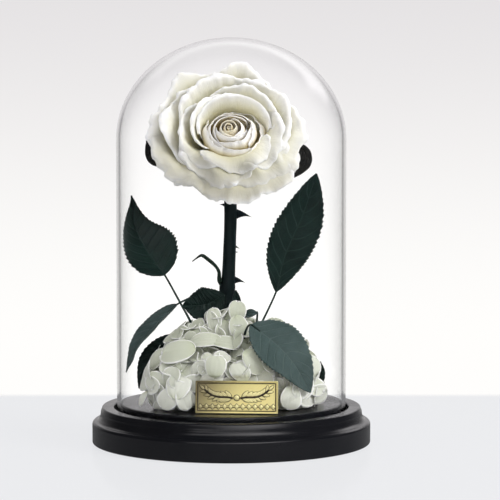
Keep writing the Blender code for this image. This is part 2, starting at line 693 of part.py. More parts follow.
def cluster_solid(key: str) -> bpy.types.Object:
    """Make one lobed cluster, cut flat half-way to its neighbours and on the platform."""
    centre, radius = CLUSTERS[key]
    centre = Vector(centre) * MM
    radius = radius * MM
    lobes = lobe_directions(CLUSTER_LOBES)
    turn = random_unit_vector().to_track_quat("Z", "Y")
    lobes = [turn @ lobe for lobe in lobes]
    bm = bmesh.new()
    bmesh.ops.create_uvsphere(bm, u_segments=CLUSTER_SEGMENTS, v_segments=CLUSTER_RINGS, radius=1.0)
    for vert in bm.verts:
        direction = vert.co.normalized()
        nearest = max(direction.dot(lobe) for lobe in lobes)
        height = math.exp(CLUSTER_LOBE_SHARPNESS * (nearest - 1.0))
        vert.co = centre + direction * radius * (1.0 - CLUSTER_LOBE_DEPTH * (1.0 - height))
    for other_key, (other_centre, other_radius) in CLUSTERS.items():
        other = Vector(other_centre) * MM
        away = other - centre
        if other_key != key and away.length < radius + other_radius * MM:
            share = 0.5 + 0.5 * (radius - other_radius * MM) / away.length
            cut_flat(bm, centre + away * share - away.normalized() * GAP, away)
    cut_flat(bm, Vector((0.0, 0.0, PLATFORM_HEIGHT + GAP)), Vector((0.0, 0.0, -1.0)))
    cut_flat(bm, Vector((0.0, MOUND_FRONT, 0.0)), FRONT)
    outward = Vector((centre.x, centre.y, 0.0)).normalized()
    cut_flat(bm, outward * MOUND_RADIUS, outward)
    for vert in bm.verts:
        reach = math.hypot(vert.co.x, vert.co.y)
        if reach > MOUND_RADIUS:
            vert.co.x *= MOUND_RADIUS / reach
            vert.co.y *= MOUND_RADIUS / reach
    return object_from_bmesh(f"hydrangea_{key}", bm)


def build_hydrangea() -> None:
    """Make the mound's clusters and cut clearance in them for the stem, leaves and stalks."""
    cutters = [tube("rose_stem", STEM_ROUTE, STEM_SIDES, MOUND_CLEARANCE)]
    cutters += [blade_solid(blade, MOUND_CLEARANCE) for blade in LEAVES]
    for cutter in cutters:
        cutter.name = f"{cutter.name}_clearance"
        add_cutter(cutter)
    for key in CLUSTERS:
        cluster = cluster_solid(key)
        cut = combine(cluster, cutters, "DIFFERENCE", keep=True)
        add_part(cut, HYDRANGEA_WHITE, 30.0)


def main() -> None:
    """Build the whole object."""
    clear_scene()
    seed_set(SEED)
    build_base()
    build_dome()
    build_plate()
    build_stem()
    build_head()
    build_leaves()
    build_hydrangea()


main()
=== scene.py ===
"""Looks of a preserved white rose in a glass dome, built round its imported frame.

Each sub-assembly is a class: the turned base, the glass dome, the brass plate, the rose's
stem, its flower head, the leaves and sepals, and the mound of hydrangea. The stage class
holds the floor, the lights and the camera.

Metres, +Z up, the front towards -Y, the origin at the centre of the base's underside.
Fields that say millimetres are turned into metres where they are used.
"""

from __future__ import annotations

import logging
import random
from dataclasses import dataclass, field
from enum import Enum
from math import (atan2, copysign, cos, degrees, dist, exp, hypot, log, log1p, pi, radians, sin,
                  sqrt)
from typing import Callable, Sequence

import bmesh
import bpy
from mathutils import Matrix, Vector
from mathutils.noise import noise

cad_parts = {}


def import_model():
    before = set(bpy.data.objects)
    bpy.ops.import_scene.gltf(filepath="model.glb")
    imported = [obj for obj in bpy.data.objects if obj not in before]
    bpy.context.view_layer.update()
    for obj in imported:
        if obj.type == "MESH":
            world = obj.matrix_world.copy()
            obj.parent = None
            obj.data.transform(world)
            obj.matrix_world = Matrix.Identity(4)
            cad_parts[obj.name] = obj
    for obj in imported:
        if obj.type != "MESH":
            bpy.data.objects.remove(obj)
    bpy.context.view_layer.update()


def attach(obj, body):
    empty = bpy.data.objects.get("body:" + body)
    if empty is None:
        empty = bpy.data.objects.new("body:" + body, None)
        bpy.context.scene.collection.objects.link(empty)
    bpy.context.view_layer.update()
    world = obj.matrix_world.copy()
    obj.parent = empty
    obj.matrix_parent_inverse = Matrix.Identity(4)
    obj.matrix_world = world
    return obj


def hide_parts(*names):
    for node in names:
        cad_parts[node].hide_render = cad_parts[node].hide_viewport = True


LOG = logging.getLogger("rose_dome")

MM = 0.001
ROOT = "root"
PETAL_MAP = "petal_map"
TONE = "tone"
UP = Vector((0.0, 0.0, 1.0))
GOLDEN_ANGLE = radians(137.508)

Pair = tuple[float, float]
Colour = tuple[float, float, float]
Point = tuple[float, float, float]
Socket = bpy.types.NodeSocket
Surface = Callable[[float, float], Vector]
Results = dict[str, Socket]


class Slot(Enum):
    """The material slots."""

    BLACK_WOOD = "black_wood"
    GLASS = "clear_glass"
    BRASS = "antique_brass"
    STEM = "dried_stem"
    LEAF = "preserved_leaf"
    SEPAL = "preserved_sepal"
    ROSE = "rose_petal"
    HYDRANGEA = "hydrangea_petal"


# Small sums


def mix(start: float, end: float, share: float) -> float:
    """Blend two values."""
    return start + (end - start) * share


def smoothstep(low: float, high: float, value: float) -> float:
    """Ease from 0 at low to 1 at high."""
    share = min(1.0, max(0.0, (value - low) / (high - low)))
    return share * share * (3.0 - 2.0 * share)


def bell(value: float, width: float) -> float:
    """Return a bump that is 1 at 0 and fades over the width."""
    return exp(-((value / width) ** 2))


def reading(table: Sequence[Pair], place: float) -> float:
    """Read a table.

    Args:
        table: Its (place, value) pairs, in order.
        place: Where to read it.

    Returns:
        The value there, blended between its neighbours.
    """
    for (low, start), (high, end) in zip(table, table[1:]):
        if place <= high:
            return mix(start, end, min(1.0, max(0.0, (place - low) / (high - low))))
    return table[-1][1]


def wander(place: float, key: float) -> float:
    """Return a smooth random value of about -1 to 1 along a line, different for each key."""
    return 1.6 * noise(Vector((place, key * 7.31 + 0.37, key * 1.93 - 4.1)))


def spline_point(points: Sequence[Vector], share: float) -> Vector:
    """Read a smooth curve through points.

    Args:
        points: The points that it passes through.
        share: How far along it, from 0 to 1.

    Returns:
        The point there.
    """
    spans = len(points) - 1
    place = min(max(share, 0.0), 1.0) * spans
    index = min(int(place), spans - 1)
    t = place - index
    p1 = points[index]
    p2 = points[index + 1]
    p0 = points[index - 1] if index > 0 else p1 * 2.0 - p2
    p3 = points[index + 2] if index + 2 < len(points) else p2 * 2.0 - p1
    return 0.5 * (2.0 * p1 + (p2 - p0) * t + (2.0 * p0 - 5.0 * p1 + 4.0 * p2 - p3) * t ** 2
                  + (3.0 * p1 - p0 - 3.0 * p2 + p3) * t ** 3)


def arc(centre: Pair, size: Pair, start: float, end: float, steps: int) -> list[Pair]:
    """Return points along an elliptical arc.

    Args:
        centre: Its centre.
        size: Its half width and half height.
        start: The angle where it starts, in degrees.
        end: The angle where it ends.
        steps: How many pieces it is cut into.

    Returns:
        Its points, one more than its steps.
    """
    angles = [radians(mix(start, end, i / steps)) for i in range(steps + 1)]
    return [(centre[0] + size[0] * cos(a), centre[1] + size[1] * sin(a)) for a in angles]


# Meshes


def smooth_mesh(bm: bmesh.types.BMesh, name: str, frame: Matrix | None = None,
                sharp_angle: float | None = None) -> bpy.types.Mesh:
    """Turn what was collected into a smooth mesh.

    Args:
        bm: What was collected, which is freed.
        name: The mesh's name.
        frame: Moves the mesh into place.
        sharp_angle: Edges sharper than this, in degrees, stay crisp.

    Returns:
        The mesh.
    """
    mesh = bpy.data.meshes.new(name)
    bm.to_mesh(mesh)
    bm.free()
    if frame is not None:
        mesh.transform(frame)
    mesh.shade_smooth()
    if sharp_angle is not None:
        mesh.set_sharp_from_angle(angle=radians(sharp_angle))
    return mesh


class SheetMesh:
    """Collects bent grids into one mesh, with a map of where each point lies on its sheet."""

    def __init__(self, name: str) -> None:
        """Start an empty mesh for a piece of the given name."""
        self.name = name
        self.bm = bmesh.new()
        self.map = self.bm.loops.layers.uv.new(PETAL_MAP)
        self.tone = self.bm.verts.layers.float.new(TONE)

    def add(self, columns: int, rows: int, surface: Surface, tone: float = 0.5) -> None:
        """Bend a grid over a surface.

        Args:
            columns: Faces across.
            rows: Faces along.
            surface: Gives the point for a place across (-1 to 1) and a share along (0 to 1).
            tone: The sheet's own shade, from 0 to 1.
        """
        made = bmesh.ops.create_grid(self.bm, x_segments=columns, y_segments=rows, size=1.0)["verts"]
        places = {vert: (vert.co.x, 0.5 * (vert.co.y + 1.0)) for vert in made}
        for face in {face for vert in made for face in vert.link_faces}:
            for loop in face.loops:
                across, share = places[loop.vert]
                loop[self.map].uv = (0.5 * (across + 1.0), share)
        for vert, (across, share) in places.items():
            vert.co = surface(across, share)
            vert[self.tone] = tone

    def tube(self, points: Sequence[Vector], radii: Sequence[float], sides: int,
             tone: float = 0.5, flat: float = 1.0) -> None:
        """Loft a closed tube through points.

        Args:
            points: The centre line.
            radii: The radius at each point.
            sides: Faces round the tube.
            tone: The tube's own shade.
            flat: The share of its height that its section keeps.
        """
        across = (points[1] - points[0]).orthogonal().normalized()
        rings = []
        for index, (point, radius) in enumerate(zip(points, radii)):
            ahead = points[min(index + 1, len(points) - 1)] - points[max(index - 1, 0)]
            ahead.normalize()
            across = (across - ahead * across.dot(ahead)).normalized()
            up = ahead.cross(across)
            ring = []
            for side in range(sides):
                angle = 2.0 * pi * side / sides
                offset = across * cos(angle) + up * sin(angle) * flat
                vert = self.bm.verts.new(point + offset * radius)
                vert[self.tone] = tone
                ring.append(vert)
            rings.append(ring)
        spans = len(rings) - 1
        for index, (low, high) in enumerate(zip(rings, rings[1:])):
            for side in range(sides):
                after = (side + 1) % sides
                face = self.bm.faces.new((low[side], low[after], high[after], high[side]))
                corners = ((side, index), (side + 1, index), (side + 1, index + 1), (side, index + 1))
                for loop, (turn, rise) in zip(face.loops, corners):
                    loop[self.map].uv = (turn / sides, rise / spans)
        self.bm.faces.new(list(reversed(rings[0])))
        self.bm.faces.new(rings[-1])

    def finish(self, thickness: float = 0.0, frame: Matrix | None = None,
               sharp_angle: float = 50.0) -> bpy.types.Object:
        """Turn what was collected into an object.

        Args:
            thickness: The sheets' thickness, or 0 for closed shapes.
            frame: Moves the mesh into place.
            sharp_angle: Edges sharper than this, in degrees, stay crisp.

        Returns:
            The object, in no collection yet.
        """
        open_sheets = thickness > 0.0
        mesh = smooth_mesh(self.bm, self.name, frame, None if open_sheets else sharp_angle)
        obj = bpy.data.objects.new(self.name, mesh)
        if open_sheets:
            solidify = obj.modifiers.new("thickness", "SOLIDIFY")
            solidify.thickness = thickness
            solidify.offset = 0.0
        return obj


def supported(profile: Sequence[Pair], hold: float = 0.15 * MM,
              least: float = 3.6 * MM) -> list[Pair]:
    """Return a profile with a point close to both ends of each long straight.

    Args:
        profile: The outline as (radius, height).
        hold: How far from the ends the new points lie.
        least: The shortest straight that gets them.

    Returns:
        The outline, whose straights keep their own shading right up to their ends.
    """
    points = [profile[0]]
    for start, end in zip(profile, profile[1:]):
        length = dist(start, end)
        if length > least:
            for share in (hold / length, 1.0 - hold / length):
                points.append((mix(start[0], end[0], share), mix(start[1], end[1], share)))
        points.append(end)
    return points


def turned(name: str, profile: Sequence[Pair], steps: int,
           sharp_angle: float = 35.0) -> bpy.types.Object:
    """Turn a profile of (radius, height) about the Z axis, down its outer side.

    Args:
        name: The object's name.
        profile: The outline, starting and ending on the axis or closed by its last point.
        steps: Faces round the axis.
        sharp_angle: Edges sharper than this, in degrees, stay crisp.

    Returns:
        The turned object, in no collection yet.
    """
    bm = bmesh.new()
    verts = [bm.verts.new((radius, 0.0, height)) for radius, height in supported(profile)]
    edges = [bm.edges.new(pair) for pair in zip(verts, verts[1:])]
    bmesh.ops.spin(bm, geom=[*verts, *edges], cent=(0.0, 0.0, 0.0), axis=(0.0, 0.0, 1.0),
                   angle=2.0 * pi, steps=steps, use_merge=True)
    bmesh.ops.remove_doubles(bm, verts=bm.verts, dist=0.001 * MM)
    bmesh.ops.dissolve_degenerate(bm, edges=bm.edges, dist=0.001 * MM)
    bmesh.ops.recalc_face_normals(bm, faces=bm.faces)
    return bpy.data.objects.new(name, smooth_mesh(bm, name, None, sharp_angle))


def show(obj: bpy.types.Object, material: bpy.types.Material, slot: Slot, *nodes: str) -> None:
    """Dress a piece, let it ride on the object's body and stand for the solids of its form.

    Args:
        obj: The piece.
        material: Its finish.
        slot: The slot that the finish belongs to; not used.
        nodes: The solids that the piece replaces.
    """
    bpy.context.scene.collection.objects.link(obj)
    obj.data.materials.clear()
    obj.data.materials.append(material)
    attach(obj, ROOT)
    if nodes:
        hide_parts(*nodes)
    LOG.info("%s: %d faces", obj.name, len(obj.data.polygons))


# Shader nodes


class Shading:
    """Short ways to add nodes to one tree and to join them."""

    def __init__(self, tree: bpy.types.NodeTree) -> None:
        """Work on the given tree."""
        self.tree = tree

    def feed(self, socket: Socket, value: object) -> None:
        """Link a socket, or set its value where the value is plain."""
        if isinstance(value, Socket):
            self.tree.links.new(value, socket)
        else:
            socket.default_value = value

    def add(self, kind: str, inputs: dict | None = None, **properties: object) -> bpy.types.Node:
        """Add a node.

        Args:
            kind: The node's type, without ShaderNode before it.
            inputs: Values or sockets for its inputs, by name or number.
            properties: Its own settings.

        Returns:
            The node.
        """
        node = self.tree.nodes.new(f"ShaderNode{kind}")
        for name, value in properties.items():
            setattr(node, name, value)
        for key, value in (inputs or {}).items():
            self.feed(node.inputs[key], value)
        return node

    def math(self, operation: str, first: object, second: object = 0.0,
             clamp: bool = False) -> Socket:
        """Return the result of one sum."""
        node = self.add("Math", {0: first, 1: second}, operation=operation, use_clamp=clamp)
        return node.outputs[0]

    def times(self, first: object, second: object) -> Socket:
        """Return a product."""
        return self.math("MULTIPLY", first, second)

    def range(self, value: object, low: object, high: object, start: float = 0.0,
              end: float = 1.0) -> Socket:
        """Ease a value from the range low to high into the range start to end.

        Args:
            value: What is eased.
            low: Where the easing starts.
            high: Where it ends.
            start: The result at low.
            end: The result at high.

        Returns:
            The eased value.
        """
        node = self.add("MapRange", {"Value": value, "From Min": low, "From Max": high,
                                     "To Min": start, "To Max": end},
                        interpolation_type="SMOOTHSTEP")
        return node.outputs["Result"]

    def blend(self, share: object, first: object, second: object, how: str = "MIX") -> Socket:
        """Mix two colours.

        Args:
            share: How much of the second shows.
            first: The colour at 0.
            second: The colour at 1.
            how: The way of blending.

        Returns:
            The mixed colour.
        """
        node = self.add("Mix", data_type="RGBA", blend_type=how, clamp_factor=True)
        for index, value in ((0, share), (6, first), (7, second)):
            if isinstance(value, tuple):
                value = (*value, 1.0)
            self.feed(node.inputs[index], value)
        return node.outputs[2]

    def noise(self, vector: object, scale: object, detail: float = 3.0,
              roughness: float = 0.55) -> Socket:
        """Return a noise value of 0 to 1."""
        node = self.add("TexNoise", {"Vector": vector, "Scale": scale, "Detail": detail,
                                     "Roughness": roughness})
        return node.outputs["Fac"]

    def sheet_place(self) -> tuple[Socket, Socket]:
        """Return the places across and along the sheet that a point lies at."""
        split = self.add("SeparateXYZ", {0: self.add("UVMap", uv_map=PETAL_MAP).outputs[0]})
        return split.outputs["X"], split.outputs["Y"]

    def object_place(self) -> Socket:
        """Return the place in the object's own space."""
        return self.add("TexCoord").outputs["Object"]

    def tone(self) -> Socket:
        """Return the sheet's own shade."""
        return self.add("Attribute", attribute_name=TONE).outputs["Fac"]

    def bump(self, height: object, distance: float, strength: float = 1.0) -> Socket:
        """Return the normal of a surface with fine relief, its distance in metres."""
        node = self.add("Bump", {"Height": height, "Distance": distance, "Strength": strength})
        return node.outputs["Normal"]


class Effect(Enum):
    """The effects that several finishes share, each a node group that is built once."""

    FIBRES = "petal_fibres"
    VEINS = "leaf_veins"
    MOTTLE = "mottle"


def fibres(nodes: Shading, given: bpy.types.NodeOutputs) -> Results:
    """Return a petal's fine ribs, which run from its claw, its crumples and their relief.

    Args:
        nodes: The nodes to add to.
        given: The group's inputs.

    Returns:
        The outputs by name.
    """
    across = nodes.times(given["Across"], given["Ribs"])
    along = nodes.times(given["Along"], 2.2)
    drift = nodes.times(nodes.noise(given["Place"], 70.0, 2.0), 3.0)
    ribbed = nodes.add("CombineXYZ", {"X": across, "Y": along, "Z": drift}).outputs[0]
    rib = nodes.noise(ribbed, 1.0, 2.0, 0.5)
    crumple = nodes.noise(given["Place"], given["Crumple Scale"], 4.0, 0.6)
    height = nodes.math("ADD", nodes.times(rib, 0.45), crumple)
    return {"Rib": rib, "Crumple": crumple, "Height": height}


def veins(nodes: Shading, given: bpy.types.NodeOutputs) -> Results:
    """Return a leaf's midrib and curved side veins, its fine net and their relief.

    Args:
        nodes: The nodes to add to.
        given: The group's inputs.

    Returns:
        The outputs by name.
    """
    centred = nodes.math("SUBTRACT", given["Across"], 0.5)
    side = nodes.times(nodes.math("ABSOLUTE", centred), 2.0)
    midrib = nodes.range(side, 0.0, given["Midrib Width"], 1.0, 0.0)
    bent = nodes.times(nodes.math("POWER", side, 1.25), given["Slant"])
    wavering = nodes.times(nodes.noise(given["Place"], 120.0, 2.0), 0.5)
    rows = nodes.times(given["Along"], given["Pairs"])
    phase = nodes.math("ADD", nodes.math("SUBTRACT", rows, bent), wavering)
    off = nodes.math("ABSOLUTE", nodes.math("SUBTRACT", nodes.math("FRACT", phase), 0.5))
    fading = nodes.range(side, 0.55, 1.0, 1.0, 0.25)
    side_vein = nodes.times(nodes.range(off, 0.0, 0.10, 1.0, 0.0), fading)
    vein = nodes.math("MAXIMUM", midrib, side_vein)
    cells = nodes.add("TexVoronoi", {"Vector": given["Place"], "Scale": given["Net Scale"]},
                      feature="DISTANCE_TO_EDGE").outputs["Distance"]
    net = nodes.range(cells, 0.0, 0.12, 1.0, 0.0)
    low = nodes.times(vein, -1.0)
    height = nodes.math("SUBTRACT", low, nodes.times(net, 0.18))
    return {"Vein": vein, "Net": net, "Height": height}


def mottle(nodes: Shading, given: bpy.types.NodeOutputs) -> Results:
    """Return broad patches of tone, small specks and fine relief.

    Args:
        nodes: The nodes to add to.
        given: The group's inputs.

    Returns:
        The outputs by name.
    """
    broad = nodes.noise(given["Place"], given["Scale"], 5.0, 0.6)
    patch = nodes.add("MapRange", {"Value": broad, "From Min": given["Low"],
                                   "From Max": given["High"]}).outputs[0]
    fine_scale = nodes.times(given["Scale"], 22.0)
    fine = nodes.noise(given["Place"], fine_scale, 2.0, 0.5)
    return {"Patch": patch, "Speck": nodes.range(fine, 0.62, 0.74), "Height": fine}


SHEET_PLACE = {"Across": 0.5, "Along": 0.5, "Place": (0.0, 0.0, 0.0)}
EFFECTS = {
    Effect.FIBRES: (fibres, {**SHEET_PLACE, "Ribs": 60.0, "Crumple Scale": 160.0}),
    Effect.VEINS: (veins, {**SHEET_PLACE, "Pairs": 9.0, "Slant": 1.7, "Midrib Width": 0.05,
                           "Net Scale": 900.0}),
    Effect.MOTTLE: (mottle, {"Place": (0.0, 0.0, 0.0), "Scale": 40.0, "Low": 0.35, "High": 0.7}),
}


def effect_group(which: Effect) -> bpy.types.NodeTree:
    """Return the node group of a shared effect, built when it is first asked for.

    Args:
        which: The effect.

    Returns:
        Its group, with named inputs and outputs.
    """
    tree = bpy.data.node_groups.get(which.value)
    if tree is not None:
        return tree
    tree = bpy.data.node_groups.new(which.value, "ShaderNodeTree")
    build, plain = EFFECTS[which]
    for name, value in plain.items():
        kind = "NodeSocketVector" if isinstance(value, tuple) else "NodeSocketFloat"
        socket = tree.interface.new_socket(name, in_out="INPUT", socket_type=kind)
        socket.default_value = value
    results = build(Shading(tree), tree.nodes.new("NodeGroupInput").outputs)
    for name in results:
        tree.interface.new_socket(name, in_out="OUTPUT", socket_type="NodeSocketFloat")
    ends = tree.nodes.new("NodeGroupOutput").inputs
    for name, value in results.items():
        tree.links.new(value, ends[name])
    return tree


def effect(nodes: Shading, which: Effect, inputs: dict) -> bpy.types.NodeOutputs:
    """Place a shared effect in a material.

    Args:
        nodes: The material's nodes.
        which: The effect.
        inputs: Values or sockets for the group's inputs, by name.

    Returns:
        The group's outputs.
    """
    node = nodes.tree.nodes.new("ShaderNodeGroup")
    node.node_tree = effect_group(which)
    for name, value in inputs.items():
        nodes.feed(node.inputs[name], value)
    return node.outputs


def new_material(name: str) -> tuple[bpy.types.Material, Shading, bpy.types.Node]:
    """Return an empty material, its nodes and its Principled shader."""
    material = bpy.data.materials.new(name)
    material.use_nodes = True
    return material, Shading(material.node_tree), material.node_tree.nodes["Principled BSDF"]


def set_shader(nodes: Shading, shader: bpy.types.Node, values: dict) -> None:
    """Set or link a shader's inputs by name.

    Args:
        nodes: The material's nodes.
        shader: The shader.
        values: A value or socket for each name.
    """
    for name, value in values.items():
        if isinstance(value, tuple) and len(value) == 3 and "Color" in name:
            value = (*value, 1.0)
        nodes.feed(shader.inputs[name], value)


# Finishes


@dataclass(frozen=True)
class PetalFinish:
    """Soft white tissue: it shades from a yellowish claw to a pale rim, and can be darkened by place
    as painted shade.
    """

    name: str
    claw: Colour
    body: Colour
    rim: Colour
    shade: Colour
    fade: Pair
    rim_start: float = 0.86
    side_start: float = 0.94
    # Painted shade by place: the axis it darkens along, the span over it and the most it reaches.
    painted_shade_axis: Point = (-0.2, 0.0, -1.0)
    painted_shade_span: Pair = (-0.172, -0.138)
    painted_shade_most: float = 0.0
    ribs: float = 60.0
    rib_tint: float = 0.12
    crumple_scale: float = 190.0
    relief: float = 0.40 * MM
    roughness: Pair = (0.42, 0.60)
    subsurface: float = 0.60
    subsurface_radius: Colour = (1.0, 0.95, 0.80)
    subsurface_scale: float = 1.2 * MM
    sheen: float = 0.15

    def material(self) -> bpy.types.Material:
        """Make the finish's material."""
        material, nodes, shader = new_material(self.name)
        across, along = nodes.sheet_place()
        place = nodes.object_place()
        tissue = effect(nodes, Effect.FIBRES, {"Across": across, "Along": along, "Place": place,
                                               "Ribs": self.ribs,
                                               "Crumple Scale": self.crumple_scale})
        faded = nodes.blend(nodes.range(along, *self.fade), self.claw, self.body)
        aside = nodes.math("ABSOLUTE", nodes.math("SUBTRACT", across, 0.5))
        # The pale rim colour along the ends and sides is partly the petals' own paler margin and
        # partly a painted highlight.
        edge = nodes.math("MAXIMUM", nodes.range(along, self.rim_start, 1.0),
                          nodes.range(aside, 0.5 * self.side_start, 0.5))
        # Painted shade: darker towards the flower's lower front and left, by place in object space;
        # each sheet's tone adds to it.
        low = nodes.add("VectorMath", {0: place, 1: self.painted_shade_axis}, operation="DOT_PRODUCT")
        shade_share = nodes.range(low.outputs["Value"], *self.painted_shade_span, 0.0, self.painted_shade_most)
        shade_share = nodes.math("MAXIMUM", shade_share, nodes.times(nodes.tone(), 0.9))
        shaded = nodes.blend(shade_share, faded, self.shade, "MULTIPLY")
        ribbing = nodes.times(nodes.range(tissue["Rib"], 0.45, 0.7), self.rib_tint)
        ribbed = nodes.blend(ribbing, shaded, self.claw, "MULTIPLY")
        colour = nodes.blend(edge, ribbed, self.rim)
        rough = nodes.range(tissue["Crumple"], 0.3, 0.7, *self.roughness)
        set_shader(nodes, shader, {
            "Base Color": colour, "Roughness": rough, "Subsurface Weight": self.subsurface,
            "Subsurface Radius": self.subsurface_radius,
            "Subsurface Scale": self.subsurface_scale, "Sheen Weight": self.sheen,
            "Sheen Roughness": 0.5, "Specular IOR Level": 0.35,
            "Normal": nodes.bump(tissue["Height"], self.relief)})
        return material


@dataclass(frozen=True)
class LeafFinish:
    """Leathery green tissue with a midrib, side veins and a dull bloom."""

    name: str
    blade: Colour
    deep: Colour
    vein: Colour
    vein_tint: float = 0.45
    shine: float = 0.2
    pairs: float = 9.0
    relief: float = 0.35 * MM
    roughness: Pair = (0.38, 0.56)

    def material(self) -> bpy.types.Material:
        """Make the finish's material."""
        material, nodes, shader = new_material(self.name)
        across, along = nodes.sheet_place()
        place = nodes.object_place()
        vein = effect(nodes, Effect.VEINS, {"Across": across, "Along": along, "Place": place,
                                            "Pairs": self.pairs})
        patches = effect(nodes, Effect.MOTTLE, {"Place": place, "Scale": 90.0})
        patched = nodes.blend(patches["Patch"], self.deep, self.blade)
        netted = nodes.blend(nodes.times(vein["Net"], 0.12), patched, self.vein)
        tint = nodes.times(vein["Vein"], self.vein_tint)
        colour = nodes.blend(tint, netted, self.vein)
        rough = nodes.range(patches["Patch"], 0.0, 1.0, *self.roughness)
        set_shader(nodes, shader, {
            "Base Color": colour, "Roughness": rough, "Specular IOR Level": self.shine,
            "Normal": nodes.bump(vein["Height"], self.relief, 0.8)})
        return material


@dataclass(frozen=True)
class BarkFinish:
    """Dried, dark plant skin with lengthwise grain."""

    name: str
    skin: Colour
    pale: Colour
    roughness: Pair = (0.40, 0.62)
    shine: float = 0.14
    relief: float = 0.30 * MM

    def material(self) -> bpy.types.Material:
        """Make the finish's material."""
        material, nodes, shader = new_material(self.name)
        across, along = nodes.sheet_place()
        place = nodes.object_place()
        patches = effect(nodes, Effect.MOTTLE, {"Place": place, "Scale": 120.0})
        grain = effect(nodes, Effect.FIBRES, {"Across": across, "Along": along, "Place": place,
                                              "Ribs": 26.0, "Crumple Scale": 320.0})
        pale = nodes.times(nodes.tone(), nodes.range(grain["Rib"], 0.3, 0.7, 0.5))
        colour = nodes.blend(pale, self.skin, self.pale)
        rough = nodes.range(patches["Patch"], 0.0, 1.0, *self.roughness)
        set_shader(nodes, shader, {
            "Base Color": colour, "Roughness": rough, "Specular IOR Level": self.shine,
            "Normal": nodes.bump(grain["Height"], self.relief, 0.8)})
        return material


@dataclass(frozen=True)
class SatinPaint:
    """Black satin paint over turned wood, with a little dust and rub on it."""

    name: str
    paint: Colour
    worn: Colour
    roughness: Pair = (0.17, 0.28)
    relief: float = 0.03 * MM

    def material(self) -> bpy.types.Material:
        """Make the finish's material."""
        material, nodes, shader = new_material(self.name)
        patches = effect(nodes, Effect.MOTTLE, {"Place": nodes.object_place(), "Scale": 35.0})
        dust = nodes.times(patches["Speck"], 0.25)
        patched = nodes.blend(nodes.times(patches["Patch"], 0.5), self.paint, self.worn)
        colour = nodes.blend(dust, patched, self.worn)
        rough = nodes.range(patches["Patch"], 0.0, 1.0, *self.roughness)
        set_shader(nodes, shader, {
            "Base Color": colour, "Roughness": rough, "Specular IOR Level": 0.42,
            "Normal": nodes.bump(patches["Height"], self.relief, 0.6)})
        return material


@dataclass(frozen=True)
class BrassFinish:
    """Aged brass: rubbed metal under brown patina, with painted shade towards the plate's left and
    top.
    """

    name: str
    metal: Colour
    patina: Colour
    patina_low: float
    patina_high: float
    shadow: Colour = (0.16, 0.125, 0.075)
    shadow_span: Pair = (11.5 * MM, -23.0 * MM)
    shadow_most: float = 0.85
    plate_middle: float = 29.5 * MM
    metallic: float = 0.12
    roughness: Pair = (0.26, 0.46)
    relief: float = 0.05 * MM

    def material(self) -> bpy.types.Material:
        """Make the finish's material."""
        material, nodes, shader = new_material(self.name)
        patches = effect(nodes, Effect.MOTTLE, {
            "Place": nodes.object_place(), "Scale": 160.0, "Low": self.patina_low,
            "High": self.patina_high})
        colour = nodes.blend(patches["Patch"], self.metal, self.patina)
        # Painted shade: the plate darkens towards its left and top, by place in object space.
        split = nodes.add("SeparateXYZ", {0: nodes.object_place()}).outputs
        slant = nodes.math("SUBTRACT", split["X"], nodes.times(split["Z"], 0.5))
        slant = nodes.math("ADD", slant, 0.5 * self.plate_middle)
        start, end = self.shadow_span
        shade_share = nodes.range(slant, end, start, self.shadow_most, 0.0)
        colour = nodes.blend(shade_share, colour, self.shadow)
        rough = nodes.range(patches["Patch"], 0.0, 1.0, *self.roughness)
        set_shader(nodes, shader, {
            "Base Color": colour, "Metallic": self.metallic, "Roughness": rough,
            "Normal": nodes.bump(patches["Height"], self.relief, 0.5)})
        return material


@dataclass(frozen=True)
class ClearGlass:
    """Clear glass that lets the lamps through to what it covers."""

    name: str
    tint: Colour
    ior: float
    roughness: float

    def material(self) -> bpy.types.Material:
        """Make the finish's material."""
        material, nodes, shader = new_material(self.name)
        set_shader(nodes, shader, {"Base Color": self.tint, "Roughness": self.roughness,
                                   "IOR": self.ior, "Transmission Weight": 1.0})
        clear = nodes.add("BsdfTransparent")
        lamps = nodes.add("LightPath").outputs["Is Shadow Ray"]
        both = nodes.add("MixShader", {0: lamps, 1: shader.outputs[0], 2: clear.outputs[0]})
        output = material.node_tree.nodes["Material Output"]
        nodes.feed(output.inputs["Surface"], both.outputs[0])
        return material


BLACK_SATIN = SatinPaint("black_satin_paint", (0.0068, 0.0074, 0.0095), (0.014, 0.014, 0.0165))
DOME_GLASS = ClearGlass("dome_glass", (0.998, 1.0, 1.0), 1.18, 0.0)
# Their shadow colours are painted shade across the plate.
BRIGHT_BRASS = BrassFinish("rubbed_brass", (1.0, 0.91, 0.44), (0.97, 0.84, 0.40), 0.5, 0.85,
                           shadow=(0.24, 0.19, 0.115), shadow_most=0.85)
FIELD_BRASS = BrassFinish("aged_brass", (1.0, 0.88, 0.37), (0.97, 0.81, 0.33), 0.42, 0.80,
                          shadow=(0.10, 0.075, 0.042), shadow_most=0.9, roughness=(0.28, 0.44))
# Dark patina, also used as painted shade in the plate's hollows.
DARK_BRASS = BrassFinish("dark_patina_and_shade", (0.10, 0.072, 0.035), (0.04, 0.03, 0.018), 0.3, 0.6,
                         shadow=(0.03, 0.024, 0.016), roughness=(0.45, 0.6))
BUD_CREAM = PetalFinish("rose_bud_tissue", (0.60, 0.48, 0.22), (0.93, 0.91, 0.86),
                        (1.0, 0.99, 0.97), (0.96, 0.95, 0.92), (0.56, 0.86), rim_start=0.92,
                        rib_tint=0.06)
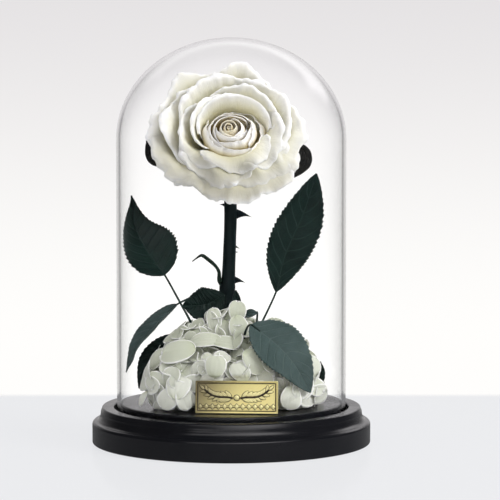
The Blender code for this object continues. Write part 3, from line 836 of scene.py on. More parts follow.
# Its dark shade colour is painted shade on the flower's lower front and left.
ROSE_WHITE = PetalFinish("rose_petal_tissue", (0.80, 0.76, 0.46), (0.88, 0.87, 0.785),
                         (1.0, 0.995, 0.98), (0.50, 0.495, 0.485), (0.30, 0.84), rim_start=0.76,
                         painted_shade_most=0.9, rib_tint=0.06)
HEART_CREAM = PetalFinish("rose_heart_tissue", (0.60, 0.49, 0.24), (0.94, 0.90, 0.78),
                          (0.90, 0.82, 0.60), (0.62, 0.49, 0.25), (0.45, 0.92), rim_start=0.94,
                          rib_tint=0.06)
# Its shade colour darkens each sheet by its tone: random tone, and painted shade that grows up the
# mound.
HYDRANGEA_WHITE = PetalFinish("hydrangea_tissue", (0.70, 0.74, 0.57), (0.77, 0.79, 0.69),
                              (1.0, 1.0, 0.975), (0.54, 0.565, 0.49), (0.0, 0.45), ribs=30.0,
                              rim_start=0.86, side_start=0.84, rib_tint=0.12,
                              crumple_scale=210.0, relief=0.12 * MM,
                              roughness=(0.28, 0.44), subsurface=0.35,
                              subsurface_radius=(1.0, 1.0, 0.85), subsurface_scale=1.2 * MM)
LEAF_GREEN = LeafFinish("leaf_skin", (0.0095, 0.024, 0.0205), (0.0045, 0.0125, 0.0110),
                        (0.024, 0.048, 0.040))
# A lighter copy of the leaf skin: painted light and sheen for the leaves that face the lamps.
LIT_LEAF_GREEN = LeafFinish("lit_leaf_skin", (0.070, 0.104, 0.100), (0.044, 0.070, 0.067),
                             (0.112, 0.158, 0.146), pairs=8.0)
SEPAL_SKIN = LeafFinish("sepal_skin", (0.018, 0.018, 0.0175), (0.010, 0.010, 0.010),
                        (0.034, 0.035, 0.033), vein_tint=0.2, pairs=14.0)
STEM_SKIN = BarkFinish("stem_skin", (0.0030, 0.0075, 0.0110), (0.030, 0.055, 0.032))
STALK_SKIN = BarkFinish("stalk_skin", (0.012, 0.024, 0.022), (0.035, 0.055, 0.045))


# Base, dome and plate


@dataclass
class Base:
    """The turned black base with its cove, the groove for the glass and the platform."""

    radius: float = 73.0 * MM
    side_height: float = 10.6 * MM
    rim_radius: float = 67.9 * MM
    rim_height: float = 19.0 * MM
    edge: float = 0.8 * MM
    cove_foot: Pair = (71.2 * MM, 11.6 * MM)
    cove_top_height: float = 16.6 * MM
    cove_hollow: float = 0.6 * MM
    shoulder: float = 1.8 * MM
    shoulder_drop: float = 0.8 * MM
    groove_radius: float = 61.5 * MM
    groove_floor: float = 15.0 * MM
    platform_radius: float = 57.3 * MM
    platform_height: float = 21.0 * MM
    steps: int = 160
    edge_steps: int = 4

    def rounded(self, radius: float, height: float, start: float) -> list[Pair]:
        """Return a quarter round whose corner would be at the radius and height."""
        turn = radians(start - 45.0)
        centre = (radius - self.edge * copysign(1.0, cos(turn)),
                  height - self.edge * copysign(1.0, sin(turn)))
        return arc(centre, (self.edge, self.edge), start, start - 90.0, self.edge_steps)

    def profile(self) -> list[Pair]:
        """Return the outline from the platform's centre to the underside's centre."""
        cove_size = (self.cove_foot[0] - self.rim_radius - self.cove_hollow,
                     self.cove_top_height - self.cove_foot[1])
        cove = arc((self.cove_foot[0], self.cove_top_height), cove_size, 180.0, 270.0, 10)
        centre = (self.radius - self.shoulder, self.side_height - self.shoulder_drop)
        return [
            (0.0, self.platform_height),
            *self.rounded(self.platform_radius, self.platform_height, 90.0),
            (self.platform_radius, self.groove_floor),
            (self.groove_radius, self.groove_floor),
            *self.rounded(self.groove_radius, self.rim_height, 180.0),
            *self.rounded(self.rim_radius, self.rim_height, 90.0),
            *cove,
            *arc(centre, (self.shoulder, self.shoulder), 90.0, 0.0, 6),
            *self.rounded(self.radius, 0.0, 0.0),
            (0.0, 0.0),
        ]

    def build(self) -> None:
        """Turn the base and paint it."""
        show(turned("base_finished", self.profile(), self.steps), BLACK_SATIN.material(),
             Slot.BLACK_WOOD, "base")


@dataclass
class Dome:
    """The blown glass dome: a straight wall under a flattened half-ellipse."""

    radius: float = 60.0 * MM
    wall: float = 2.0 * MM
    foot: float = 15.35 * MM
    spring_height: float = 159.0 * MM
    cap_height: float = 53.0 * MM
    steps: int = 160
    cap_steps: int = 28

    def build(self) -> None:
        """Turn the dome with its rounded foot."""
        outer = arc((0.0, self.spring_height), (self.radius, self.cap_height), 90.0, 0.0,
                    self.cap_steps)
        inner = arc((0.0, self.spring_height), (self.radius - self.wall,
                                                self.cap_height - self.wall), 0.0, 90.0,
                    self.cap_steps)
        lip = 0.5 * self.wall
        foot = arc((self.radius - lip, self.foot + lip), (lip, lip), 0.0, -180.0, 8)
        outer[0] = (0.0, self.spring_height + self.cap_height)
        inner[-1] = (0.0, self.spring_height + self.cap_height - self.wall)
        show(turned("glass_dome_finished", [*outer, *foot, *inner], self.steps, 80.0),
             DOME_GLASS.material(), Slot.GLASS, "glass_dome")


@dataclass
class Plate:
    """The brass plate: a raised border round an aged field with a laurel garland in relief."""

    size: Vector = field(default_factory=lambda: Vector((42.0, 1.5, 16.5)) * MM)
    centre: Pair = (3.0 * MM, -44.0 * MM)
    lean: float = radians(6.0)
    turn: float = radians(-4.0)
    stands_on: float = 21.35 * MM
    border: float = 1.2 * MM
    recess: float = 0.55 * MM
    edge: float = 0.20 * MM
    branch_reach: float = 16.4
    leaf_pairs: int = 7
    leaf_length: float = 4.9
    leaf_width: float = 1.9
    leaf_relief: float = 0.45
    outline: float = 0.34
    lozenge_spacing: float = 3.1
    lozenge_size: Pair = (1.25, 1.45)
    lozenge_row: float = -4.9

    def frame(self) -> Matrix:
        """Return the plate's place: X along it, Z up it, its face towards -Y."""
        half = 0.5 * (self.size.z * cos(self.lean) + self.size.y * sin(self.lean))
        place = Matrix.Translation((*self.centre, self.stands_on + half))
        turned_round = Matrix.Rotation(self.turn, 4, "Z")
        return place @ turned_round @ Matrix.Rotation(-self.lean, 4, "X")

    def field_level(self) -> float:
        """Return the place in Y of the recessed field."""
        return -0.5 * self.size.y + self.recess

    def slab(self) -> bpy.types.Object:
        """Make the plate with its raised, softened border."""
        bm = bmesh.new()
        bmesh.ops.create_cube(bm, size=1.0, matrix=Matrix.Diagonal((*self.size, 1.0)))
        front = [face for face in bm.faces if face.normal.y < -0.5]
        bmesh.ops.inset_region(bm, faces=front, thickness=self.border)
        for vert in front[0].verts:
            vert.co.y += self.recess
        bmesh.ops.bevel(bm, geom=[*bm.edges], offset=self.edge, segments=3, affect="EDGES",
                        profile=0.5)
        name = "name_plate_finished"
        return bpy.data.objects.new(name, smooth_mesh(bm, name, self.frame(), 30.0))

    def laurel_leaf(self, sheet: SheetMesh, foot: Vector, angle: float, length: float,
                    width: float, relief: float) -> None:
        """Add one pointed leaf in low relief.

        Args:
            sheet: The mesh to add to.
            foot: The leaf's foot on the field, as (x, z) in millimetres.
            angle: The way it points, in radians.
            length: Its length in millimetres.
            width: Its greatest width in millimetres.
            relief: How far it stands off the field in millimetres.
        """
        ahead = Vector((cos(angle), sin(angle)))
        aside = Vector((-ahead.y, ahead.x))

        def surface(across: float, share: float) -> Vector:
            """Return a point of the leaf's crowned face."""
            half = 0.5 * width * max(sin(pi * share ** 0.8), 0.0) ** 0.8
            spot = foot + ahead * share * length + aside * across * half
            crown = sqrt(max(0.0, 1.0 - across * across)) * sin(pi * share) ** 0.6
            groove = 0.35 * bell(across, 0.22)
            height = relief * crown * (1.0 - groove) - 0.02
            return Vector((spot.x * MM, self.field_level() - height * MM, spot.y * MM))

        sheet.add(12, 12, surface)

    def branch_point(self, share: float, side: float) -> Vector:
        """Return a point along one branch, from the middle out, as (x, z) in millimetres."""
        x = side * mix(1.9, self.branch_reach, share)
        return Vector((x, -0.6 + 4.4 * share - 3.0 * sin(pi * share) * share))

    def garland(self, name: str, grow: float, relief: float) -> bpy.types.Object:
        """Make both laurel branches with their leaves, the studs and the boss.

        Args:
            name: The piece's name.
            grow: How much larger than drawn it is all round, for an outline.
            relief: How far it stands off the field, in millimetres.

        Returns:
            The garland.
        """
        sheet = SheetMesh(name)
        for side in (-1.0, 1.0):
            line = [self.branch_point(step / 24, side) for step in range(25)]
            points = [Vector((p.x * MM, self.field_level() - 0.06 * MM, p.y * MM)) for p in line]
            sheet.tube(points, [(0.24 + grow) * MM] * len(points), 8)
            for index in range(self.leaf_pairs):
                share = (index + 0.4) / self.leaf_pairs
                foot = self.branch_point(share, side)
                ahead = self.branch_point(min(share + 0.05, 1.0), side) - foot
                heading = atan2(ahead.y, ahead.x)
                size = mix(1.0, 0.72, share)
                for turn in (38.0, -38.0):
                    angle = heading + radians(turn) * side
                    back = Vector((cos(angle), sin(angle))) * grow
                    self.laurel_leaf(sheet, foot - back, angle, self.leaf_length * size + 2.0 * grow,
                                     self.leaf_width * size + 2.0 * grow, relief)
            end = self.branch_point(1.0, side)
            tip = self.branch_point(0.95, side)
            self.laurel_leaf(sheet, end, atan2((end - tip).y, (end - tip).x), 3.4 + grow,
                             1.3 + 2.0 * grow, relief)
        self.add_studs(sheet, grow, relief)
        return sheet.finish(0.0, self.frame(), 60.0)

    def add_stud(self, sheet: SheetMesh, spot: Pair, half: Pair,
                 tall: float, corners: float) -> None:
        """Add one low stud on the field, all in millimetres.

        Args:
            sheet: The mesh to add to.
            spot: Its middle, as (x, z).
            half: Its half width and half height.
            tall: How far it stands off the field.
            corners: 1 for a lozenge, 2 for an oval.
        """

        def surface(across: float, share: float) -> Vector:
            """Return a point of the stud's dome, from its top down to the field."""
            angle = pi * across
            power = 2.0 / corners
            x = copysign(abs(cos(angle)) ** power, cos(angle)) * half[0]
            z = copysign(abs(sin(angle)) ** power, sin(angle)) * half[1]
            reach = sin(0.5 * pi * share)
            level = self.field_level() - tall * MM * cos(0.5 * pi * share)
            return Vector(((spot[0] + x * reach) * MM, level, (spot[1] + z * reach) * MM))

        sheet.add(24, 6, surface)

    def add_studs(self, sheet: SheetMesh, grow: float, relief: float) -> None:
        """Add the row of lozenges and dots under the garland, and the boss at its middle.

        Args:
            sheet: The mesh to add to.
            grow: How far each outline grows, in millimetres.
            relief: The height over the plate, in millimetres.
        """
        wide, tall = self.lozenge_size
        count = int(0.5 * self.size.x / MM / self.lozenge_spacing - 0.6)
        for index in range(-count, count + 1):
            x = index * self.lozenge_spacing
            self.add_stud(sheet, (x, self.lozenge_row), (wide + grow, tall + grow), relief, 1.0)
            if index < count:
                dot = (x + 0.5 * self.lozenge_spacing, self.lozenge_row)
                self.add_stud(sheet, dot, (0.3 + grow, 0.3 + grow), 0.8 * relief, 2.0)
        self.add_stud(sheet, (0.0, -0.4), (1.35 + grow, 1.35 + grow), relief, 2.0)

    def groove(self) -> bpy.types.Object:
        """Make the dark line where the field meets its border: partly patina in that corner and
        partly painted shade.
        """
        sheet = SheetMesh("plate_groove")
        x = 0.5 * self.size.x / MM - self.border / MM
        z = 0.5 * self.size.z / MM - self.border / MM
        corners = [(-x, -z), (x, -z), (x, z), (-x, z)]
        for (x0, z0), (x1, z1) in zip(corners, corners[1:] + corners[:1]):
            ends = [Vector((mix(x0, x1, step) * MM, self.field_level(), mix(z0, z1, step) * MM))
                    for step in (0.0, 0.5, 1.0)]
            sheet.tube(ends, [0.26 * MM] * 3, 8)
        return sheet.finish(0.0, self.frame(), 60.0)

    def build(self) -> None:
        """Make the plate, the dark outlines and the rubbed relief."""
        show(self.slab(), FIELD_BRASS.material(), Slot.BRASS, "name_plate")
        # The dark outline and groove stand partly for patina in the hollows and partly for painted
        # shade round the relief.
        dark = DARK_BRASS.material()
        show(self.garland("plate_garland_outline", self.outline, 0.10), dark, Slot.BRASS)
        show(self.groove(), dark, Slot.BRASS)
        show(self.garland("plate_garland", 0.0, self.leaf_relief), BRIGHT_BRASS.material(),
             Slot.BRASS)


# The rose's head


@dataclass
class RoseHead:
    """The flower: a tight scroll at its heart and petals in a golden-angle spiral round it.

    Lengths are in millimetres and angles in degrees. A pair of values is for the innermost and
    the outermost petal, and a table gives a value for ranks from 0 at the heart to 1 outside.
    """

    origin: Vector = field(default_factory=lambda: Vector((-1.0, 10.6, 150.2)) * MM)
    elevation: float = radians(33.0)
    count: int = 24
    start_angle: float = radians(-8.0)
    thickness: float = 0.30 * MM
    bud_rims: dict = field(default_factory=lambda: {1: 5.4, 2: 7.2, 3: 6.2, 4: 9.2, 5: 9.6, 6: 8.6,
                                                    8: 11.0, 9: 12.8})
    bud_wall: tuple = ((0.0, 1.2), (0.20, 1.7), (0.36, 2.3))
    bud_drop: float = 5.0
    bud_top: float = 29.6
    bud_bend: float = 21.0
    bud_arc: float = 45.0
    bud_rounding: float = 0.10
    bud_spiral: float = 0.09
    stretch: Pair = (1.22, 1.0)
    stretch_shift: Pair = (1.8, 0.5)
    stretch_span: Pair = (2.0, 12.0)
    stretch_fade: Pair = (0.30, 0.60)
    claw_half_angle: float = radians(16.0)
    claw_share: float = 0.55
    rim_rounding: float = 0.20
    rounding_power: float = 2.6
    outline: tuple = ((-180, 1.11), (-158, 1.17), (-143, 1.12), (-133, 1.04), (-124, 0.91),
                      (-109, 0.89), (-96, 0.87), (-85, 0.87), (-66, 0.92), (-51, 0.95),
                      (-40, 1.07), (-26, 1.09), (-11, 1.03), (2, 0.97), (25, 0.96), (40, 0.91),
                      (62, 1), (83, 1.03), (95, 0.94), (113, 0.94), (127, 0.96), (145, 0.94),
                      (159, 0.96), (167, 1.06), (180, 1.11))
    outline_span: Pair = (0.60, 0.92)
    claw_radius: Pair = (4.2, 10)
    claw_height: Pair = (2.5, -0.5)
    claw_angle: Pair = (30, 86)
    rim_radius: tuple = ((0.25, 15.4), (0.36, 16), (0.42, 19.1), (0.45, 21), (0.60, 27.4),
                         (1, 40))
    rim_height: tuple = ((0.25, 29.2), (0.50, 29.8), (0.70, 28.4), (0.85, 25.8), (1, 22.4))
    rim_angle: tuple = ((0.25, 6), (0.40, 14), (0.55, 28), (0.80, 48), (1, 66))
    throat_pull: tuple = ((0.25, 0.32), (0.35, 0.36), (1, 0.42))
    belly_pull: float = 0.36
    curl_length: tuple = ((0.25, 1.1), (0.45, 1.4), (0.70, 1.9), (1.0, 2.6))
    curl_turn: tuple = ((0.25, 84.0), (0.45, 90.0), (0.70, 86.0), (1.0, 90.0))
    lip_length: tuple = ((0.0, 0.5), (0.20, 0.6), (0.36, 0.7), (0.45, 0.5), (1.0, 0.6))
    lip_turn: float = 46.0
    near_direction: float = radians(-76.0)
    near_span: Pair = (-0.10, 0.70)
    near_rim: tuple = ((0.36, 19), (0.44, 23.5), (0.52, 25.5), (0.65, 29), (0.77, 32.5),
                       (0.85, 35.8), (1, 40))
    near_wall: tuple = ((0.35, 12.2), (0.45, 12.8), (0.65, 14.4), (1, 17))
    near_level: tuple = ((0.35, 23.4), (0.45, 22.4), (0.65, 20.2), (0.80, 18.8), (1, 17.2))
    far_rise: tuple = ((0.22, 2.2), (0.50, 2.8), (1, 2))
    near_calm: float = 0.30
    near_wave: float = 3.4
    near_wave_scale: float = 0.10
    folds: tuple = (
        ((-24.6, -14.1), (-19.1, -23.9), 1.5, 1.7),
        ((8.2, -18.3), (17.4, -22), 1.7, 1.8),
        ((-11.8, -15.2), (-7.3, -23.1), 1.2, 1.8),
        ((4.6, -23.9), (6, -25), -1.6, 5),
        ((1.8, -29.5), (-0.9, -36), 1.8, 1.6),
        ((-34.6, -10), (-28.2, -21.8), 1.3, 1.8),
        ((23.6, -10), (29.2, -21.8), 1.4, 1.8),
        ((14, -28), (17, -34), 1.3, 1.5),
        ((-15, -28), (-17, -33), 1.2, 1.5),
    )
    blade_half_angle: tuple = ((0.0, 98.0), (0.30, 90.0), (0.40, 70.0), (1.0, 60.0))
    lean_wobble: Pair = (0.25, 2.1)
    lift_wobble: Pair = (0.35, 1.8)
    ruffle: Pair = (0.08, 1.0)
    dent: Pair = (0.10, 1.9)
    crease: Pair = (0.05, 1.3)
    crease_span: Pair = (0.45, 0.9)
    crumple: Pair = (0.035, 0.55)
    frill: tuple = ((0.0, 0.05), (0.36, 0.12), (0.42, 0.60), (1.0, 1.1))
    notch: float = 0.040
    tip: Pair = (0.01, 0.05)
    spiral: Pair = (-0.08, -0.01)
    columns: int = 60
    rows: int = 36
    row_power: float = 1.7
    body_samples: int = 28
    curl_samples: int = 9
    lip_samples: int = 6
    heart_wraps: int = 5
    heart_reach: Pair = (1.3, 4.4)

    def frame(self) -> Matrix:
        """Return the head's frame: X right, Y up the face, Z along its axis."""
        axis = Vector((0.0, -cos(self.elevation), sin(self.elevation)))
        right = Vector((1.0, 0.0, 0.0))
        turn = Matrix((right, axis.cross(right), axis)).transposed().to_4x4()
        return Matrix.Translation(self.origin) @ turn

    def reclining(self, direction: float, rank: float) -> float:
        """Tell how far a petal lies back towards the viewer.

        Args:
            direction: The angle round the flower.
            rank: The petal's rank.

        Returns:
            0 where it stands, 1 where it lies back.
        """
        near = cos(direction - self.near_direction)
        return smoothstep(*self.near_span, near) * smoothstep(0.33, 0.42, rank)

    def folded(self, spot: Vector) -> float:
        """Return the height of the large folds at a place in front of the flower's heart.

        Args:
            spot: A place in the head's frame, in millimetres.

        Returns:
            The height in millimetres.
        """
        total = 0.0
        for start, end, height, width in self.folds:
            first, run = Vector(start), Vector(end) - Vector(start)
            share = min(1.0, max(0.0, (spot.xy - first).dot(run) / run.length_squared))
            gap = (spot.xy - first - run * share).length
            total += height * bell(gap, width) * mix(1.0, 0.55, abs(2.0 * share - 1.0))
        return total

    def stretched(self, radius: float, angle: float, height: float, rank: float) -> Vector:
        """Draw the flower's middle out to an off-centre oval.

        Args:
            radius: The point's distance from the axis, in millimetres.
            angle: Its direction round the axis.
            height: Its height along the axis, in millimetres.
            rank: The petal's rank.

        Returns:
            The point in the head's frame, in metres.
        """
        share = smoothstep(*self.stretch_span, radius) * (1.0 - smoothstep(*self.stretch_fade, rank))
        x = radius * cos(angle) * mix(1.0, self.stretch[0], share)
        y = radius * sin(angle) * mix(1.0, self.stretch[1], share)
        return Vector((x + share * self.stretch_shift[0], y + share * self.stretch_shift[1],
                       height)) * MM

    def bud_line(self, rim: float, wall: float, cut: float, lip: float) -> list[Vector]:
        """Return the line of a petal that closes over the bud like part of a dome.

        Args:
            rim: The radius at which the petal ends.
            wall: The radius of its upright part.
            cut: The share of its length that is there.
            lip: The length of its turned-up edge.

        Returns:
            Points of (radius, height) in millimetres.
        """
        top = self.bud_top - rim * rim / self.bud_bend
        shoulder = top - self.bud_drop
        points = []
        for step in range(self.body_samples + 1):
            share = step / self.body_samples
            points.append(Vector((mix(self.claw_radius[0], wall, smoothstep(0.0, 1.0, share)),
                                  mix(self.claw_height[0], shoulder, share))))
        limit = radians(self.bud_arc)
        for step in range(1, self.body_samples + 1):
            angle = limit * step / self.body_samples
            inward = (cos(angle) - cos(limit)) / (1.0 - cos(limit))
            points.append(Vector((mix(rim, wall, inward),
                                  mix(shoulder, top, sin(angle) / sin(limit)))))
        whole = MeasuredLine(points)
        points = [whole.at(cut * step / 60) for step in range(61)]
        ahead = points[-1] - points[-3]
        angle = atan2(ahead.x, ahead.y)
        place = points[-1]
        for _ in range(self.lip_samples):
            angle += radians(self.lip_turn) / self.lip_samples
            place = place + lip / self.lip_samples * Vector((sin(angle), cos(angle)))
            points.append(place)
        return points

    def line(self, rank: float, across: float, number: int, direction: float) -> list[Vector]:
        """Return a petal's line from its claw over its rolled rim, at one place across it.

        Args:
            rank: 0 at the heart, 1 outside.
            across: The place across the petal, from -1 to 1.
            number: The petal's number, which gives it its own wobble.
            direction: The angle of that place round the flower.

        Returns:
            Points of (radius, height) in millimetres.
        """
        if number in self.bud_rims:
            rim = self.bud_rims[number] * (1.0 + self.bud_spiral * across)
            rim += 0.35 * wander(across * 1.3, number)
            cut = 1.0 - self.bud_rounding * abs(across) ** self.rounding_power
            cut += 0.008 * wander(across * 4.0, number + 320)
            return self.bud_line(rim, rim + reading(self.bud_wall, rank), cut,
                                 reading(self.lip_length, rank))
        far = max(0.0, sin(direction))
        claw = Vector((mix(*self.claw_radius, rank), mix(*self.claw_height, rank)))
        rim = Vector((reading(self.rim_radius, rank),
                      reading(self.rim_height, rank) + far * reading(self.far_rise, rank)))
        rim.x += mix(*self.lean_wobble, rank ** 1.3) * wander(across * 1.1, number)
        rim.y += mix(*self.lift_wobble, rank) * wander(across * 1.4, number + 60)
        claw_angle = radians(mix(*self.claw_angle, rank))
        rim_angle = radians(reading(self.rim_angle, rank))
        chord = (rim - claw).length
        belly = claw + self.belly_pull * chord * Vector((sin(claw_angle), cos(claw_angle)))
        throat = rim - reading(self.throat_pull, rank) * chord * Vector((sin(rim_angle),
                                                                         cos(rim_angle)))
        cut = 1.0 - self.rim_rounding * abs(across) ** self.rounding_power
        cut += self.notch * rank * (wander(across * 3.2, number + 120)
                                    + 0.7 * wander(across * 9.0, number + 320)
                                    + 0.4 * wander(across * 19.0, number + 420))
        cut += mix(*self.tip, rank) * bell(across - 0.1 * wander(0.3, number), 0.13)
        wall, level = reading(self.near_wall, rank), reading(self.near_level, rank)
        reach = reading(self.near_rim, rank) + rim.x - reading(self.rim_radius, rank)
        edge = Vector((reach + 0.1 * (reach - wall),
                       level - 1.4 + 0.5 * wander(across * 1.4, number + 60)))
        knots = (claw, Vector((wall - 2.6, level - 9.0)), Vector((wall, level - 2.4)),
                 Vector((wall + 2.4, level - 0.2)), Vector((mix(wall, reach, 0.6), level + 0.5)),
                 edge)
        shelf = MeasuredLine([spline_point(knots, step / 30) for step in range(31)])
        reclined = self.reclining(direction, rank)
        points = []
        for step in range(self.body_samples + 1):
            u = cut * step / self.body_samples
            standing = (claw * (1.0 - u) ** 3 + belly * (3.0 * u * (1.0 - u) ** 2)
                        + throat * (3.0 * u * u * (1.0 - u)) + rim * u ** 3)
            points.append(standing.lerp(shelf.at(u / 1.08), reclined))
        ahead = points[-1] - points[-2]
        angle = atan2(ahead.x, ahead.y)
        inward = 1.0 - 0.55 * abs(across) ** 3.0
        roll = 1.0 + 0.7 * wander(across * 1.7, number + 180)
        place = points[-1]
        for span, turn, steps in (
                (reading(self.curl_length, rank) * inward, reading(self.curl_turn, rank) * roll,
                 self.curl_samples),
                (reading(self.lip_length, rank), self.lip_turn * roll, self.lip_samples)):
            for _ in range(steps):
                angle += 0.5 * radians(turn) / steps
                place = place + span / steps * Vector((sin(angle), cos(angle)))
                angle += 0.5 * radians(turn) / steps
                points.append(place)
        return points

    def petal(self, number: int) -> Surface:
        """Return the surface of one petal in the head's frame.

        Args:
            number: The number of the petal, from the heart outwards.

        Returns:
            Its surface.
        """
        rank = (number - 0.5) / self.count
        azimuth = self.start_angle + (number - 1) * GOLDEN_ANGLE
        outermost = smoothstep(*self.outline_span, rank)
        half_angle = radians(reading(self.blade_half_angle, rank))
        spiral = mix(*self.spiral, rank)
        lines = []
        for column in range(self.columns + 1):
            across = 2.0 * column / self.columns - 1.0
            direction = azimuth + across * half_angle
            lines.append(MeasuredLine(self.line(rank, across, number, direction)))

        def surface(across: float, share: float) -> Vector:
            """Return a point of the petal, with its rows closer together at the rim."""
            along = 1.0 - (1.0 - share) ** self.row_power
            line = lines[round(0.5 * (across + 1.0) * self.columns)]
            point = line.at(along)
            ahead = (point - line.at(along - 0.03)) if along > 0.03 else (line.at(0.03) - point)
            ahead.normalize()
            spot = Vector((across * 2.4, along * 3.2, number * 3.7))
            relief = mix(*self.dent, rank) * noise(spot)
            relief += mix(*self.ruffle, rank) * along * wander(across * 5.5, number + 240)
            fold = max(0.0, 1.0 - 4.5 * abs(noise(Vector((across * 2.6, along * 1.2, number * 5.3)))))
            relief += mix(*self.crease, rank) * fold * smoothstep(*self.crease_span, along)
            fine = Vector((spot.x * 4.6, spot.y * 3.4, spot.z))
            relief += mix(*self.crumple, rank) * along ** 3 * noise(fine)
            relief += reading(self.frill, rank) * along ** 12 * wander(across * 11.0, number + 540)
            spread = smoothstep(0.0, self.claw_share, along)
            angle = azimuth + across * mix(self.claw_half_angle, half_angle, spread)
            reclined = self.reclining(angle, rank)
            relief *= 1.0 - self.near_calm * reclined
            point = point + relief * along * along * Vector((-ahead.y, ahead.x))
            turn = degrees(angle + pi) % 360.0 - 180.0
            radius = point.x * mix(1.0, reading(self.outline, turn), outermost * along * along)
            radius *= 1.0 + spiral * across * smoothstep(0.1, 0.7, along)
            spot = Vector((radius * cos(angle), radius * sin(angle), 3.3))
            wave = self.near_wave * reclined * smoothstep(12.0, 22.0, radius)
            height = point.y + wave * noise(spot * self.near_wave_scale)
            height += reclined * self.folded(spot)
            return self.stretched(radius, angle, height, rank)

        return surface

    def scroll(self, across: float, share: float) -> Vector:
        """Return a point of the tightly rolled sheet at the very heart.

        Args:
            across: The place across it, from -1 to 1.
            share: The place along it, from 0 to 1.

        Returns:
            The point in the head's frame.
        """
        turn = 0.5 * (across + 1.0)
        angle = self.start_angle + 1.8 * 2.0 * pi * turn
        rim = mix(0.15, 1.1, turn)
        radius = mix(rim + 0.9, rim, share) * (1.0 + 0.08 * sin(angle * 2.3))
        height = mix(14.0, mix(27.9, 28.6, turn), share ** 0.6)
        return Vector((radius * cos(angle), radius * sin(angle), height)) * MM

    def wrap(self, index: int) -> Surface:
        """Return the surface of one of the small petals that close over the scroll.

        Args:
            index: Which of them, from the outside.

        Returns:
            Its surface.
        """
        azimuth = self.start_angle - (index + 1) * GOLDEN_ANGLE
        reach = mix(*reversed(self.heart_reach), index / (self.heart_wraps - 1))

        def surface(across: float, share: float) -> Vector:
            """Return a point of the small petal."""
            along = 1.0 - (1.0 - share) ** 1.5
            rim = reach * (1.0 + self.bud_spiral * across) + 0.2 * wander(across * 1.5, index)
            cut = 1.0 - 0.10 * abs(across) ** 3
            point = MeasuredLine(self.bud_line(rim, rim + 1.0, cut, 0.4)).at(along)
            angle = azimuth + across * radians(98.0)
            return self.stretched(point.x, angle, point.y, 0.0)

        return surface

    def heart(self) -> bpy.types.Object:
        """Make the heart: the scroll and the small petals that wrap it."""
        sheet = SheetMesh("rose_heart_finished")
        sheet.add(110, 14, self.scroll, 1.0)
        for index in range(self.heart_wraps):
            sheet.add(34, 24, self.wrap(index), 0.22 * index)
        return sheet.finish(0.30 * MM, self.frame())

    def build(self) -> None:
        """Make the heart and every petal."""
        open_tissue, bud_tissue = ROSE_WHITE.material(), BUD_CREAM.material()
        shades = random.Random(5)
        for number in range(1, self.count + 1):
            node = f"rose_petal_{number:02d}"
            sheet = SheetMesh(f"{node}_finished")
            sheet.add(self.columns, self.rows, self.petal(number), shades.uniform(0.0, 0.35))
            tissue = bud_tissue if number in self.bud_rims else open_tissue
            show(sheet.finish(self.thickness, self.frame()), tissue, Slot.ROSE, node)
        show(self.heart(), HEART_CREAM.material(), Slot.ROSE, "rose_heart")


class MeasuredLine:
    """A line through points that can be read at a share of its length."""

    def __init__(self, points: Sequence[Vector]) -> None:
        """Measure the line."""
        self.points = points
        self.ends = [0.0]
        for start, end in zip(points, points[1:]):
            self.ends.append(self.ends[-1] + (end - start).length)

    def at(self, share: float) -> Vector:
        """Return the point at a share of the line's length.

        Args:
            share: From 0 at its start to 1 at its end.

        Returns:
            The point.
        """
        rest = min(max(share, 0.0), 1.0) * self.ends[-1]
        index = 1
        while index < len(self.ends) - 1 and self.ends[index] < rest:
            index += 1
        low = self.ends[index - 1]
        span = max(self.ends[index] - low, 1e-9)
        return self.points[index - 1].lerp(self.points[index], (rest - low) / span)


# Stem


@dataclass(frozen=True)
class Thorn:
    """A thorn: its foot, its tip and the size of its oval foot, in millimetres."""

    foot: Point
    tip: Point
    foot_height: float
    foot_width: float


